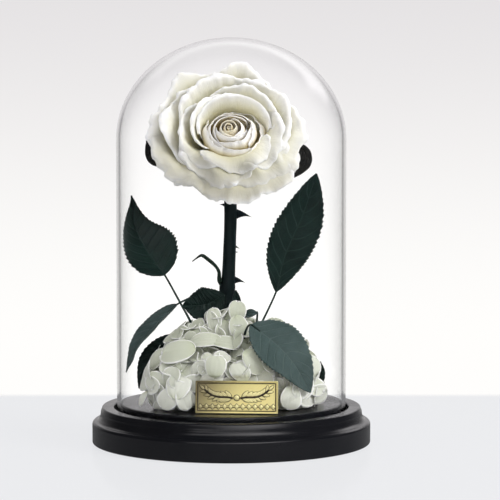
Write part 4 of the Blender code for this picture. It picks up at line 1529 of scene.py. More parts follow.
@dataclass
class Stem:
    """The thorny stem with its side shoot and the hip under the flower, in millimetres."""

    route: tuple = (
        ((-9, 3, 22.3), 3.5),
        ((-4.4, 8, 61), 3.5),
        ((-2.8, 10.4, 74), 3.6),
        ((-2.2, 11.2, 80), 4.1),
        ((-1.6, 12.2, 86), 3.6),
        ((-0.9, 14.6, 103), 3.3),
        ((-0.5, 16.6, 116), 3.4),
        ((-0.6, 18.8, 127), 3.3),
        ((-0.8, 20.4, 134), 3.4),
        ((-1, 20.4, 140), 3.6),
        ((-1, 17.4, 145), 3.8),
    )
    thorns: tuple = (
        Thorn((0.6, 18, 118), (10.8, 16.5, 116.9), 7.6, 4.4),
        Thorn((0.4, 15.4, 101.6), (4.6, 14.4, 100.2), 2.6, 2.2),
        Thorn((0.2, 15, 97.8), (4.2, 13.8, 98.6), 2.2, 2),
        Thorn((-0.6, 12.4, 83.6), (7.6, 11, 82.6), 6.4, 4.2),
        Thorn((-2.4, 19, 122.6), (-6.6, 18, 123.4), 3.2, 2.6),
        Thorn((-1.6, 17.6, 112), (-1.8, 25, 110.6), 6, 4),
    )
    shoot: tuple = (
        ((-3.6, 11.4, 80), 1.5),
        ((-6.2, 10.4, 84), 1.3),
        ((-6.6, 9.8, 88.6), 0.9),
        ((-8.6, 9, 92), 0.9),
        ((-12.6, 8, 95.6), 1),
        ((-15.2, 7.4, 97.4), 0.9),
        ((-17, 7, 97), 0.6),
        ((-20.6, 6.4, 94.4), 0.25),
    )
    hip: tuple = ((0, -0.4), (6.2, -0.6), (9.2, -2), (9.6, -4.4), (7.4, -8), (4.2, -10.6),
                  (0, -10.8))
    sides: int = 24
    samples: int = 110
    thorn_sag: float = 0.10

    def smooth_route(self, route: Sequence, samples: int,
                     wobble: float) -> tuple[list[Vector], list[float]]:
        """Smooth a route.

        Args:
            route: Its (place, radius) pairs, in millimetres.
            samples: How many pieces the result is cut into.
            wobble: The share by which its radius wanders.

        Returns:
            The points of its centre line and the radius at each, in metres.
        """
        places = [Vector(place) * MM for place, _ in route]
        widths = [Vector((radius, 0.0, 0.0)) * MM for _, radius in route]
        points = [spline_point(places, step / samples) for step in range(samples + 1)]
        radii = []
        for step in range(samples + 1):
            share = step / samples
            uneven = 1.0 + wobble * wander(share * 14.0, 3)
            radii.append(spline_point(widths, share).x * uneven)
        return points, radii

    def add_thorn(self, sheet: SheetMesh, thorn: Thorn) -> None:
        """Add one thorn: an oval foot that narrows to a sharp, slightly drooping tip.

        Args:
            sheet: The mesh to add to.
            thorn: Its place and size.
        """
        foot = Vector(thorn.foot) * MM
        tip = Vector(thorn.tip) * MM
        forward = (tip - foot).normalized()
        upward = (UP - forward * forward.z).normalized()
        aside = upward.cross(forward)
        length = (tip - foot).length

        def surface(across: float, share: float) -> Vector:
            """Return a point of the thorn's skin."""
            angle = pi * across
            narrow = max((1.0 - share) ** 1.45, 0.012)
            sag = upward * self.thorn_sag * length * sin(pi * share)
            return (foot + forward * share * length + sag
                    + aside * cos(angle) * 0.5 * thorn.foot_width * MM * narrow
                    + upward * sin(angle) * 0.5 * thorn.foot_height * MM * narrow)

        sheet.add(14, 14, surface, 0.05)

    def build(self) -> None:
        """Make the stem, its thorns, the shoot and the hip as one piece."""
        sheet = SheetMesh("rose_stem_finished")
        points, radii = self.smooth_route(self.route, self.samples, 0.035)
        sheet.tube(points, radii, self.sides, 0.12)
        for thorn in self.thorns:
            self.add_thorn(sheet, thorn)
        points, radii = self.smooth_route(self.shoot, 50, 0.06)
        sheet.tube(points, radii, 12, 0.55)
        head = RoseHead().frame()
        outline = [Vector((radius, height, 0.0)) for radius, height in self.hip]

        def hip(across: float, share: float) -> Vector:
            """Return a point of the slightly ribbed hip."""
            spot = spline_point(outline, share)
            angle = pi * across
            reach = max(spot.x, 0.0) * (1.0 + 0.03 * cos(5.0 * angle))
            return head @ (Vector((reach * cos(angle), reach * sin(angle), spot.y)) * MM)

        sheet.add(30, 24, hip, 0.35)
        show(sheet.finish(), STEM_SKIN.material(), Slot.STEM, "rose_stem")


# Leaves and sepals


@dataclass(frozen=True)
class Blade:
    """A leaf or sepal along a curved midrib, with or without a stalk, in millimetres.

    The midrib runs from the blade's base to its tip, the stalk from the blade's base down to
    where it is stuck in. The upper face looks along facing, and the halves fold up towards
    that side by fold, in degrees.
    """

    node: str
    midrib: tuple[Point, ...]
    facing: Point
    half_width: float
    widest: float = 0.42
    taper: float = 0.8
    fold: float = 12.0
    stalk: tuple[Point, ...] = ()
    teeth: int = 22
    tooth_depth: float = 0.085
    wave: float = 1.0
    tone: float = 0.5
    # Leaves marked pale take the lit copy of the leaf skin: painted light and sheen.
    pale: bool = False


LEAVES = (
    Blade("leaf_upper_left",
          ((-34.9, -4, 88.4), (-44.6, 0, 101.4), (-50.6, 2.4, 114), (-52.6, 3, 129.4)),
          (0.58, -0.81, 0.10), 16.8, widest=0.28, taper=1.1, fold=20, wave=0.9,
          stalk=((-34.9, -4, 88.6), (-27.6, -7.4, 76), (-20.4, -10.4, 62.9), (-15.6, -11.6, 50))),
    Blade("leaf_upper_right",
          ((23.3, -16, 80.7), (28.2, -16.6, 100), (36.8, -16.4, 120), (44.1, -15, 142)),
          (0.22, -0.95, 0.08), 12.6, widest=0.50, fold=10, teeth=26,
          stalk=((23.3, -16, 80.7), (16, -16, 64.9), (8.2, -16, 50.3), (5.6, -15.6, 42))),
    Blade("leaf_front_right",
          ((10.2, -27, 64.8), (21.8, -32.6, 56.8), (31.8, -35.4, 46.4), (40.6, -35.4, 30.8)),
          (0.22, -0.84, 0.48), 13.4, widest=0.44, fold=6, pale=True, wave=0.7,
          stalk=((10.2, -27, 64.8), (7.6, -22, 61), (5.6, -19, 52))),
    Blade("leaf_lower_left",
          ((-28.4, -1, 72.5), (-39.6, -3.6, 62.2), (-49, -5.2, 51), (-55, -5.6, 37.4)),
          (-0.46, -0.38, 0.80), 7.6, widest=0.36, fold=18, teeth=20, pale=True,
          stalk=((-28.4, -1, 72.5), (-24.4, 1.4, 74.4), (-16, 5.6, 77.6), (-8.2, 9.4, 78.4))),
    Blade("leaf_inner_left",
          ((-3.6, 6.2, 77), (-13.6, 3.4, 72.2), (-25.4, 2.6, 71.6)),
          (-0.10, -0.99, 0.05), 9.4, widest=0.50, fold=8, teeth=14, wave=0.5),
    Blade("leaf_back_left",
          ((-27, 5, 56), (-40.5, 1, 44), (-48.5, -3, 28.5)),
          (-0.55, -0.80, 0.20), 7.6, widest=0.45, fold=14, teeth=16, wave=0.5),
    Blade("leaf_back_right",
          ((37, 0, 24.6), (44.4, -1, 33.6), (46.6, -2.4, 42.6)),
          (0.55, -0.80, 0.20), 4.4, widest=0.50, fold=26, teeth=10, wave=0.4),
    Blade("leaf_small_curled",
          ((13.8, -13.4, 69.6), (10.4, -13.4, 68.9), (6.4, -13, 67.4)),
          (0, -0.75, 0.66), 2.7, widest=0.55, fold=24, teeth=0, wave=0.2, pale=True,
          stalk=((13.6, -13.2, 69.4), (13.2, -12.8, 63.6), (12.4, -12, 55))),
    Blade("leaf_pointed",
          ((2.6, 2, 64), (2.7, 2, 71.6), (2.4, 3, 79.6)),
          (0.10, -0.99, 0.05), 2.6, widest=0.55, fold=18, teeth=0, wave=0.2),
)

SEPALS = (
    Blade("sepal_left",
          ((-10.8, 14.4, 147.4), (-26, 12.6, 147.6), (-39.6, 6.6, 147.6), (-44.2, 2.6, 158)),
          (-0.30, -0.80, 0.50), 3.3, widest=0.70, fold=10, teeth=0, wave=0.4),
    Blade("sepal_right",
          ((8.8, 14.4, 147.4), (24, 13.4, 150.4), (36.2, 8.6, 153.4), (38.8, 5, 146.4),
           (30.6, 3.4, 137.8)),
          (0.30, -0.85, 0.42), 3.3, widest=0.66, fold=14, teeth=0, wave=0.4),
    Blade("sepal_top",
          ((-1, 21, 155.4), (-1, 26.6, 161), (-1, 28.4, 170)),
          (0, -0.30, 0.95), 3.6, widest=0.35, fold=10, teeth=0, wave=0.3),
    Blade("sepal_lower_left",
          ((-8.8, 10.6, 142.2), (-13.4, 11.6, 135.8), (-15.4, 17.6, 130)),
          (-0.5, -0.7, 0.3), 3.4, widest=0.35, fold=10, teeth=0, wave=0.3),
    Blade("sepal_lower_right",
          ((6.8, 10.6, 142.2), (11.4, 11.6, 135.8), (13.4, 17.6, 130)),
          (0.5, -0.7, 0.3), 3.4, widest=0.35, fold=10, teeth=0, wave=0.3),
)


@dataclass
class Foliage:
    """The leaves round the stem and the sepals behind the flower."""

    thickness: float = 0.55 * MM
    sepal_thickness: float = 0.9 * MM
    stalk_radius: float = 0.62 * MM
    end_half_width: float = 0.35 * MM
    columns: int = 18
    rows_per_tooth: int = 5
    plain_rows: int = 44
    vein_pairs: float = 9.0
    quilting: float = 0.35 * MM

    def blade_surface(self, blade: Blade, key: int) -> Surface:
        """Shape one blade, with its toothed edge, waves and quilted veins.

        Args:
            blade: Its sizes and places.
            key: Gives it its own waves.

        Returns:
            Its surface, in metres.
        """
        points = [Vector(point) * MM for point in blade.midrib]
        facing = Vector(blade.facing).normalized()
        power = log(0.5) / log(blade.widest)
        fold = radians(blade.fold)

        def surface(across: float, share: float) -> Vector:
            """Return a point of the blade's middle face."""
            tangent = spline_point(points, share + 0.02) - spline_point(points, share - 0.02)
            tangent.normalize()
            side = tangent.cross(facing).normalized()
            upper = side.cross(tangent)
            shape = sin(pi * min(share, 1.0) ** power)
            half = max(blade.half_width * MM * max(shape, 0.0) ** blade.taper, self.end_half_width)
            if blade.teeth:
                tooth = (share * blade.teeth) % 1.0
                fine = 1.0 + blade.tooth_depth * (tooth - 0.75) * abs(across) ** 7
                half *= fine
            wave = blade.wave * MM * across * across
            wave *= wander(share * 3.2 + (5.0 if across > 0.0 else 0.0), key)
            wave += 0.35 * blade.wave * MM * abs(across) ** 3 * wander(share * 9.0 + across, key + 9)
            vein = cos(2.0 * pi * (self.vein_pairs * share - 1.7 * abs(across) ** 1.25))
            lift = self.quilting * vein * (1.0 - across * across) * abs(across) ** 0.5 * shape
            lift -= 0.5 * MM * bell(across, 0.07) * shape
            return (spline_point(points, share) + across * half * cos(fold) * side
                    + (abs(across) * half * sin(fold) + wave + lift) * upper)

        return surface

    def build(self) -> None:
        """Make every leaf and sepal."""
        plain = LEAF_GREEN.material()
        pale = LIT_LEAF_GREEN.material()
        stalk_skin = STALK_SKIN.material()
        for key, blade in enumerate(LEAVES):
            sheet = SheetMesh(f"{blade.node}_finished")
            rows = max(self.plain_rows, blade.teeth * self.rows_per_tooth)
            sheet.add(self.columns, rows, self.blade_surface(blade, key), blade.tone)
            # Leaves marked pale get the lit copy of the leaf skin: painted light.
            show(sheet.finish(self.thickness), pale if blade.pale else plain, Slot.LEAF, blade.node)
            if blade.stalk:
                self.add_stalk(blade, stalk_skin)
        skin = SEPAL_SKIN.material()
        for key, blade in enumerate(SEPALS, len(LEAVES)):
            sheet = SheetMesh(f"{blade.node}_finished")
            sheet.add(self.columns, self.plain_rows, self.blade_surface(blade, key), blade.tone)
            show(sheet.finish(self.sepal_thickness), skin, Slot.SEPAL, blade.node)

    def add_stalk(self, blade: Blade, skin: bpy.types.Material) -> None:
        """Make the stalk of one leaf, which runs on into its midrib.

        Args:
            blade: The leaf.
            skin: The stalk's material.
        """
        midrib = [Vector(point) * MM for point in blade.midrib]
        inner = spline_point(midrib, 0.14)
        route = [inner, *(Vector(point) * MM for point in blade.stalk)]
        samples = 36
        points = [spline_point(route, step / samples) for step in range(samples + 1)]
        radii = [self.stalk_radius * mix(0.75, 1.3, (step / samples) ** 2)
                 for step in range(samples + 1)]
        sheet = SheetMesh(f"{blade.node}_stalk")
        sheet.tube(points, radii, 10, 0.3)
        show(sheet.finish(), skin, Slot.LEAF)


# Hydrangea


@dataclass(frozen=True)
class BigPetal:
    """A large single petal: its cluster, centre, facing, heading and (length, width)."""

    cluster: str
    centre: Point
    facing: Point
    heading: Point
    size: Pair


BIG_PETALS = tuple(BigPetal(*row) for row in (
    ("front_left", (-26.7, -29.0, 49.6), (-0.25, -0.62, 0.74), (-1, 0.1, -0.15), (19, 17)),
    ("side_left", (-29.3, -9.0, 55.0), (-0.2, -0.35, 0.9), (-0.6, -0.8, 0), (17, 15)),
    ("front_left", (-37.6, -22.0, 45.3), (-0.6, -0.72, 0.35), (-0.5, 0, 0.85), (14, 13)),
    ("front_left", (-38.0, -28.0, 35.7), (-0.55, -0.8, 0.2), (-0.3, 0, 1), (13, 12)),
    ("front_left", (-26.5, -39.0, 34.1), (-0.1, -0.85, 0.5), (0.2, 0, 1), (15, 14)),
    ("front_left", (-31.1, -40.4, 28.2), (-0.3, -0.9, 0.3), (-0.6, 0, -0.8), (13, 12)),
    ("front_left", (-23.4, -41.2, 27.6), (0.15, -0.9, 0.35), (0.3, 0, -1), (12, 11)),
    ("front_left", (-44.6, -31.4, 26.4), (-0.5, -0.7, 0.5), (-0.35, -0.2, -1), (9, 4.6)),
    ("top", (-8.6, -15.0, 65.9), (-0.1, -1, 0.15), (-0.1, 0, 1), (14, 8.5)),
    ("top", (3.1, -14.0, 70.5), (0.1, -1, 0.2), (0.05, 0, 1), (11, 10)),
    ("top", (3.6, -18.0, 62.6), (0.15, -1, 0.25), (0.2, 0, -1), (12, 11)),
    ("top", (-16.6, -13.0, 62.4), (-0.3, -0.9, 0.3), (-0.3, 0, 1), (9, 8)),
    ("top", (9.3, -10.5, 62.4), (0.4, -0.9, 0.2), (0.5, 0, 0.8), (10, 8)),
    ("top", (-3.6, -17.0, 60.2), (0, -0.9, 0.4), (-0.2, 0, -1), (11, 10)),
    ("top", (-11.6, -16.0, 58.6), (-0.3, -0.9, 0.35), (-0.5, 0, -0.8), (11, 10)),
    ("upper_left", (-13.4, -24.0, 55.0), (0, -0.7, 0.7), (-1, 0, 0), (17, 10)),
    ("upper_centre", (-2.6, -25.0, 54.0), (0.1, -0.6, 0.75), (1, 0, 0), (15, 10)),
    ("front_centre", (-7.8, -39.4, 44.6), (0, -0.95, 0.3), (0.1, 0, 1), (12, 12)),
    ("front_plate", (11.8, -36.0, 47.1), (0.3, -0.9, 0.3), (0.6, 0, -0.7), (15, 14)),
    ("front_plate", (4.7, -39.4, 42.0), (0.1, -0.95, 0.3), (-0.5, 0, 1), (12, 11)),
    ("front_right", (35.0, -31.0, 32.5), (0.4, -0.85, 0.35), (0.5, 0, 0.9), (16, 14)),
    ("front_right", (39.4, -21.0, 33.2), (0.7, -0.7, 0.2), (0.2, 0, 1), (12, 12)),
    ("front_right", (30.3, -36.4, 27.6), (0.2, -0.95, 0.25), (-0.2, 0, -1), (13, 12)),
    ("front_right", (37.2, -30.4, 27.6), (0.5, -0.85, 0.3), (0.3, 0, -1), (12, 11)),
))


@dataclass
class Hydrangea:
    """The mound of hydrangea: clusters of four-petalled florets, in millimetres."""

    clusters: dict = field(default_factory=lambda: {
        "front_left": ((-28.6, -24, 33), 16.5),
        "front_centre": ((-9, -25, 35), 17),
        "front_plate": ((12, -24, 36), 17),
        "front_right": ((30, -19, 33), 16),
        "side_left": ((-29.5, -5, 38), 12.5),
        "upper_left": ((-19, -9, 50), 14.5),
        "upper_centre": ((3, -9, 51), 15.5),
        "top": ((-3, -8, 60), 9),
        "upper_right": ((22, -4, 44), 16),
        "side_right": ((35, 3, 31), 10.5),
        "back_left": ((-23, 24, 34), 19),
        "back_centre": ((1, 32, 33), 18.5),
        "back_right": ((25, 23, 34), 19),
        "back_upper": ((1, 16, 50), 15.5),
    })
    mound_centre: Vector = field(default_factory=lambda: Vector((0.0, 2.0, 24.0)))
    floret_counts: dict = field(default_factory=lambda: {"top": 4})
    crowding: float = 0.80
    depth: float = 0.80
    # The heights over which painted shade deepens towards the mound's top, under the rose.
    painted_shade_heights: Pair = (28.0, 52.0)
    core_share: dict = field(default_factory=lambda: {"top": 0.45})
    core_lumps: float = 0.14
    petal_length: Pair = (9.0, 13.0)
    width_share: Pair = (0.86, 1.06)
    eye: tuple = ((-0.6, 0.7), (0.2, 0.8), (0.8, 0.75), (1.1, 0.5), (1.3, 0.12))
    thickness: float = 0.26 * MM
    floor: float = 21.5
    reach: float = 56.6
    front: float = -41.2
    plate_zone: tuple[float, float, float] = (-20.0, 26.0, 40.0)
    left_limit: tuple = ((21, -50), (30, -47.5), (40, -45), (48, -41),
                         (56, -34), (64, -24), (90, -20))
    leaf: Blade = LEAVES[2]
    leaf_reach: Pair = (17.0, 14.0)
    leaf_gap: float = 1.4
    columns: int = 10
    rows: int = 10

    def petal(self, frame: Matrix, size: Pair, key: int, cup: float, drop: float) -> Surface:
        """Return the surface of one rounded petal.

        Args:
            frame: The petal's own frame at its foot: X across, Y along, Z its upper side.
            size: Its length and width in millimetres.
            key: Gives it its own waves.
            cup: How far its margins fall away from its middle, in millimetres.
            drop: The angle through which it bends down to its tip, in degrees.

        Returns:
            The surface, in metres.
        """
        length, width = size
        bend = radians(drop)
        notch = 0.10 * max(0.0, wander(0.5, key + 700))

        def surface(across: float, share: float) -> Vector:
            """Return a point of the petal, kept clear of what is near it."""
            along = 0.5 * (1.0 - cos(pi * share))
            half = 0.5 * max(sin(pi * share), 0.03) ** 0.85 * mix(0.84, 1.04, along)
            edge = min(1.0, hypot(2.0 * across * half, 2.0 * along - 1.0))
            along *= 1.0 + 0.05 * edge * wander(across * 1.3, key + 500)
            along -= notch * bell(across, 0.5) * smoothstep(0.7, 1.0, share)
            angle = bend * along
            run = length * sin(angle) / bend
            fall = length * (1.0 - cos(angle)) / bend
            ripple = 0.045 * length * edge ** 3 * wander(2.2 * across + 2.6 * share, key)
            vein = 0.10 * cos(5.0 * pi * across) * (1.0 - edge)
            lift = ripple + vein - cup * (2.0 * across * half) ** 2
            return self.kept_inside(frame @ Vector((across * half * width, run, lift - fall))) * MM

        return surface

    def kept_inside(self, spot: Vector) -> Vector:
        """Move a point clear of the platform, the glass, the plate and the leaf in front.

        Args:
            spot: The point, in millimetres.

        Returns:
            A point that is clear of them, eased over so that petals bend and don't fold.
        """
        spot = spot.copy()
        spot.z = self.floor + self.soft(spot.z - self.floor)
        reach = hypot(spot.x, spot.y)
        allowed = self.reach - self.soft(self.reach - reach)
        if reach > 1.0:
            spot.x *= allowed / reach
            spot.y *= allowed / reach
        if spot.y < 12.0:
            limit = reading(self.left_limit, spot.z)
            spot.x = limit + self.soft(spot.x - limit)
        spot = self.behind_leaf(spot)
        left, right, top = self.plate_zone
        if left < spot.x < right and spot.z < top:
            spot.y = self.front + self.soft(spot.y - self.front)
        return spot

    def behind_leaf(self, spot: Vector) -> Vector:
        """Move a point behind the leaf that hangs over the mound's right front.

        Args:
            spot: The point, in millimetres.

        Returns:
            The same point, or one just behind the leaf.
        """
        facing = Vector(self.leaf.facing).normalized()
        rib = [Vector(point) for point in self.leaf.midrib]
        samples = [spline_point(rib, step / 12) for step in range(13)]
        offset = spot - min(samples, key=lambda point: (point - spot).length)
        height = offset.dot(facing)
        aside = (offset - facing * height).length
        over = height + self.leaf_gap
        if over < -4.0 or aside > self.leaf_reach[0]:
            return spot
        push = (over + self.soft(-over)) * smoothstep(*self.leaf_reach, aside)
        return spot - facing * max(push, 0.0)

    def soft(self, room: float, ease: float = 0.8) -> float:
        """Ease a distance that runs out towards 0 instead of letting it turn negative."""
        if room > 5.0 * ease:
            return room
        return ease * log1p(exp(room / ease)) if room > -30.0 else 0.0

    def add_floret(self, sheet: SheetMesh, centre: Vector, facing: Vector, key: int) -> None:
        """Add the four petals of a floret and the bead at its centre.

        Args:
            sheet: The cluster's mesh.
            centre: The floret's centre, in millimetres.
            facing: The way it faces.
            key: Gives it its own sizes, spin and shade.
        """
        chance = random.Random(key)
        base = Matrix.Translation(centre) @ facing.to_track_quat("Z", "Y").to_matrix().to_4x4()
        length = chance.uniform(*self.petal_length)
        spin = chance.uniform(0.0, 90.0)
        # The floret's tone is random, plus painted shade that deepens with height.
        tone = chance.uniform(0.0, 0.2) + 0.7 * smoothstep(*self.painted_shade_heights, centre.z)
        for index in range(4):
            turn = Matrix.Rotation(radians(spin + 90.0 * index + chance.uniform(-8, 8)), 4, "Z")
            tilt = Matrix.Rotation(radians(chance.uniform(4.0, 30.0)), 4, "X")
            foot = Matrix.Translation((0.0, 0.3, 0.35 * (index % 2)))
            long = length * chance.uniform(0.85, 1.1)
            surface = self.petal(base @ turn @ tilt @ foot,
                                 (long, long * chance.uniform(*self.width_share)), key * 4 + index,
                                 chance.uniform(-1.8, 1.6), chance.uniform(12.0, 52.0))
            sheet.add(self.columns, self.rows, surface,
                      min(1.0, max(0.0, tone + chance.uniform(-0.2, 0.2))))
        line = [base @ Vector((0.0, 0.0, height)) * MM for height, _ in self.eye]
        sheet.tube(line, [radius * MM for _, radius in self.eye], 8, 0.9)

    def add_big_petal(self, sheet: SheetMesh, petal: BigPetal, key: int) -> None:
        """Add one large petal, domed towards its facing.

        Args:
            sheet: The cluster's mesh.
            petal: Its place and size.
            key: Gives it its own waves and bend.
        """
        facing = Vector(petal.facing).normalized()
        heading = Vector(petal.heading)
        heading = (heading - facing * heading.dot(facing)).normalized()
        turn = Matrix((heading.cross(facing), heading, facing)).transposed().to_4x4()
        length, width = petal.size
        chance = random.Random(900 + key)
        foot = Vector(petal.centre) - heading * 0.5 * length + facing * 0.10 * length
        tilt = Matrix.Rotation(radians(22.0), 4, "X")
        # Its tone is random, plus painted shade that deepens with height.
        sheet.add(16, 16, self.petal(Matrix.Translation(foot) @ turn @ tilt, petal.size, 2000 + key,
                                     chance.uniform(-0.06, 0.12) * width,
                                     chance.uniform(34.0, 60.0)),
                  chance.uniform(0.0, 0.25) + 0.6 * smoothstep(*self.painted_shade_heights, petal.centre[2]))

    def core(self, key: str, order: int) -> Surface:
        """Shape the lumpy heart of a cluster, which closes the gaps between its petals.

        Args:
            key: The cluster.
            order: Its place among the clusters, which gives it its own lumps.

        Returns:
            Its surface, in metres.
        """
        centre, radius = self.clusters[key]

        def surface(across: float, share: float) -> Vector:
            """Return a point of the lumpy ball."""
            turn, rise = pi * across, pi * (share - 0.5)
            direction = Vector((cos(turn) * cos(rise), sin(turn) * cos(rise), sin(rise)))
            lumps = noise(direction * 2.2 + Vector((order * 3.1, 0.0, 0.0)))
            reach = radius * self.core_share.get(key, 0.72) * (1.0 + self.core_lumps * lumps)
            return self.kept_inside(Vector(centre) + direction * reach) * MM

        return surface

    def florets(self, key: str, order: int) -> list[tuple[Vector, Vector]]:
        """Spread florets over a cluster's outer side.

        Args:
            key: The cluster.
            order: Its place among the clusters, which gives it its own spread.

        Returns:
            The centre, in millimetres, and the facing of each floret.
        """
        centre, radius = self.clusters[key]
        centre = Vector(centre)
        outward = (centre - self.mound_centre).normalized()
        chance = random.Random(100 + order)
        directions: list[Vector] = []
        for _ in range(600):
            direction = Vector((chance.gauss(0, 1), chance.gauss(0, 1), chance.gauss(0, 1)))
            direction.normalize()
            if direction.dot(outward) < -0.15 or direction.z < -0.45:
                continue
            if any(direction.dot(other) > self.crowding for other in directions):
                continue
            directions.append(direction)
            if len(directions) == self.floret_counts.get(key, 11):
                break
        return [(centre + direction * radius * self.depth, (direction + outward * 0.2).normalized())
                for direction in directions]

    def build(self) -> None:
        """Make every cluster."""
        tissue = HYDRANGEA_WHITE.material()
        for order, key in enumerate(self.clusters):
            sheet = SheetMesh(f"hydrangea_{key}_finished")
            sheet.add(24, 14, self.core(key, order), 0.0)
            for index, (centre, facing) in enumerate(self.florets(key, order)):
                self.add_floret(sheet, centre, facing, order * 40 + index)
            for index, petal in enumerate(BIG_PETALS):
                if petal.cluster == key:
                    self.add_big_petal(sheet, petal, index)
            show(sheet.finish(self.thickness), tissue, Slot.HYDRANGEA, f"hydrangea_{key}")


# Stage


@dataclass
class Stage:
    """The pale floor, the soft light and the camera."""

    camera_place: Point = (0.0098, -1.5, 0.235)
    camera_aim: Point = (0.0098, 0.0, 0.101)
    lens: float = 207.3
    sensor: float = 36.0
    lamps: tuple = (("key_lamp", (1.05, -0.50, 0.75), (0.0, 0.0, 0.12), 0.6, 10.0),
                    ("fill_lamp", (-0.9, -0.8, 0.45), (0.0, 0.0, 0.1), 1.1, 0.8),
                    ("top_lamp", (0.30, -0.25, 1.2), (0.0, 0.0, 0.1), 0.8, 4.0))
    floor_radius: float = 0.9
    floor_colour: Colour = (0.08, 0.08, 0.08)
    floor_light: Colour = (0.965, 0.975, 1.0)
    floor_glow: float = 0.80
    floor_gloss: float = 0.15
    floor_mirror: float = 0.05
    floor_fade: Pair = (0.24, 0.40)
    floor_edge: Pair = (0.166, 0.184)
    backdrop_low: Colour = (1.0, 0.992, 0.975)
    backdrop_high: Colour = (0.775, 0.755, 0.765)
    soft_light: float = 0.55
    inner_light: Pair = (0.90, 1.45)
    seen_through: float = 1.14
    front_gloss: float = 0.04
    panels: tuple = ((0.05, 0.24, 2.2), (0.34, 0.64, 1.8))
    panel_sides: Pair = (0.60, 0.40)
    bright_panel: tuple[float, float, float] = (0.22, 0.62, 5.0)
    bright_sides: tuple[float, float, float, float] = (-0.35, 0.30, 0.55, 0.78)
    bright_edge: float = 0.12
    back_gloss: float = 1.0
    low_gloss: float = 0.80
    side_gloss: float = 0.35
    gloss_span: Pair = (0.45, 0.99)

    def build_floor(self) -> None:
        """Make the floor, which fades into the backdrop away from the object."""
        bm = bmesh.new()
        bmesh.ops.create_circle(bm, cap_ends=True, segments=96, radius=self.floor_radius)
        floor = bpy.data.objects.new("floor", smooth_mesh(bm, "floor"))
        floor.location.z = -0.0002
        bpy.context.scene.collection.objects.link(floor)
        material, nodes, shader = new_material("pale_floor")
        set_shader(nodes, shader, {"Base Color": self.floor_colour, "Specular IOR Level": 0.0,
                                   "Emission Color": self.floor_light})
        place = nodes.object_place()
        distance = nodes.add("VectorMath", {0: place}, operation="LENGTH")
        behind = nodes.add("SeparateXYZ", {0: place}).outputs["Y"]
        far = nodes.math("MAXIMUM", nodes.range(distance.outputs["Value"], *self.floor_fade),
                         nodes.range(behind, *self.floor_edge))
        mirrored = nodes.math("GREATER_THAN", nodes.add("LightPath").outputs["Glossy Depth"], 0.5)
        nodes.feed(shader.inputs["Emission Strength"],
                   self.pick(nodes, mirrored, self.floor_glow, self.floor_gloss))
        clear = nodes.add("BsdfTransparent")
        mirror = nodes.add("BsdfAnisotropic", {"Roughness": 0.12})
        polished = nodes.add("MixShader", {0: self.floor_mirror, 1: shader.outputs[0],
                                           2: mirror.outputs[0]})
        both = nodes.add("MixShader", {0: far, 1: polished.outputs[0], 2: clear.outputs[0]})
        nodes.feed(material.node_tree.nodes["Material Output"].inputs["Surface"], both.outputs[0])
        floor.data.materials.append(material)

    def build_surroundings(self) -> None:
        """Fill the surroundings with soft white that greys towards the top."""
        world = bpy.data.worlds.new("studio")
        world.use_nodes = True
        bpy.context.scene.world = world
        nodes = Shading(world.node_tree)
        direction = nodes.add("TexCoord").outputs["Generated"]
        split = nodes.add("SeparateXYZ", {0: direction}).outputs
        height, depth = split["Z"], split["Y"]
        colour = nodes.blend(nodes.range(height, -0.12, 0.02), self.backdrop_low,
                             self.backdrop_high)
        path = nodes.add("LightPath").outputs
        straight = nodes.math("LESS_THAN", path["Diffuse Depth"], 0.5)
        mirrored = nodes.math("GREATER_THAN", path["Glossy Depth"], 0.5)
        seen = nodes.times(path["Is Transmission Ray"], self.seen_through)
        seen = nodes.math("MAXIMUM", path["Is Camera Ray"], seen)
        off = nodes.math("ABSOLUTE", nodes.math("ADD", split["X"], 0.05))
        wide = nodes.range(off, *self.panel_sides)
        front = self.front_gloss
        for low, high, glow in self.panels:
            edge = 0.3 * (high - low)
            tall = self.band(nodes, height, low, low + edge, high - edge, high)
            front = self.pick(nodes, nodes.times(tall, wide), front, glow)
        low, high, glow = self.bright_panel
        tall = self.band(nodes, height, low, low + self.bright_edge, high - self.bright_edge, high)
        wide = self.band(nodes, split["X"], *self.bright_sides)
        front = self.pick(nodes, nodes.times(tall, wide), front, glow)
        behind = nodes.range(depth, *self.gloss_span)
        back = nodes.range(height, -0.10, 0.0, self.low_gloss, self.back_gloss)
        aside = nodes.math("ABSOLUTE", split["X"])
        back = nodes.times(back, nodes.range(aside, 0.2, 0.5, 1.0, self.side_gloss))
        gloss = self.pick(nodes, behind, front, back)
        clear = self.pick(nodes, mirrored, seen, gloss)
        slant = nodes.math("ADD", nodes.times(split["X"], 0.75),
                           nodes.times(split["Z"], 0.65))
        inner = nodes.range(slant, -1.0, 1.0, *self.inner_light)
        soft = self.pick(nodes, path["Is Transmission Ray"], self.soft_light, inner)
        strength = self.pick(nodes, straight, soft, clear)
        background = world.node_tree.nodes["Background"]
        nodes.feed(background.inputs["Color"], colour)
        nodes.feed(background.inputs["Strength"], strength)

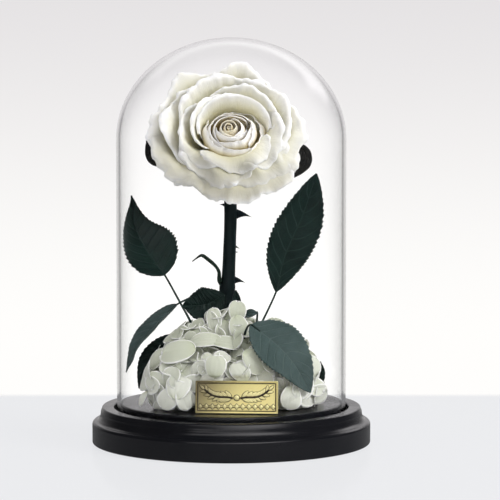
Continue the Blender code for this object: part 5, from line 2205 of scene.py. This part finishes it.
    def band(self, nodes: Shading, value: object, starts: float, full: float, wanes: float,
             ends: float) -> Socket:
        """Return 1 between full and wanes, easing to 0 at starts and at ends."""
        return nodes.times(nodes.range(value, starts, full),
                           nodes.range(value, wanes, ends, 1.0, 0.0))

    def pick(self, nodes: Shading, share: object, first: object, second: object) -> Socket:
        """Return the first value where the share is 0 and the second where it is 1."""
        return nodes.add("Mix", {0: share, 2: first, 3: second}).outputs[0]

    def add_lamp(self, name: str, place: Point, aim: Point, size: float, power: float) -> None:
        """Hang a square soft lamp that looks at a point.

        Args:
            name: Its name.
            place: Where it hangs.
            aim: The point that it looks at.
            size: The length of its side, in metres.
            power: Its power, in watts.
        """
        data = bpy.data.lights.new(name, "AREA")
        data.shape = "SQUARE"
        data.size = size
        data.energy = power
        lamp = bpy.data.objects.new(name, data)
        lamp.visible_glossy = False
        lamp.visible_transmission = False
        lamp.location = place
        lamp.rotation_euler = (Vector(aim) - Vector(place)).to_track_quat("-Z", "Y").to_euler()
        bpy.context.scene.collection.objects.link(lamp)

    def build_camera(self) -> None:
        """Set the camera where the photograph was taken from."""
        data = bpy.data.cameras.new("camera")
        data.lens = self.lens
        data.sensor_width = self.sensor
        data.clip_start = 0.01
        camera = bpy.data.objects.new("camera", data)
        camera.location = self.camera_place
        ahead = Vector(self.camera_aim) - Vector(self.camera_place)
        camera.rotation_euler = ahead.to_track_quat("-Z", "Y").to_euler()
        bpy.context.scene.collection.objects.link(camera)
        bpy.context.scene.camera = camera

    def build(self) -> None:
        """Set up the floor, the surroundings, the lamps and the camera."""
        bpy.context.scene.view_settings.view_transform = "Standard"
        self.build_floor()
        self.build_surroundings()
        for lamp in self.lamps:
            self.add_lamp(*lamp)
        self.build_camera()


def main() -> None:
    """Load the frame and build every sub-assembly round it."""
    logging.basicConfig(level=logging.INFO, format="%(name)s: %(message)s")
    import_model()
    for assembly in (Base(), Dome(), Plate(), Stem(), RoseHead(), Foliage(), Hydrangea(), Stage()):
        LOG.info("building %s", type(assembly).__name__)
        assembly.build()


if __name__ == "__main__":
    main()
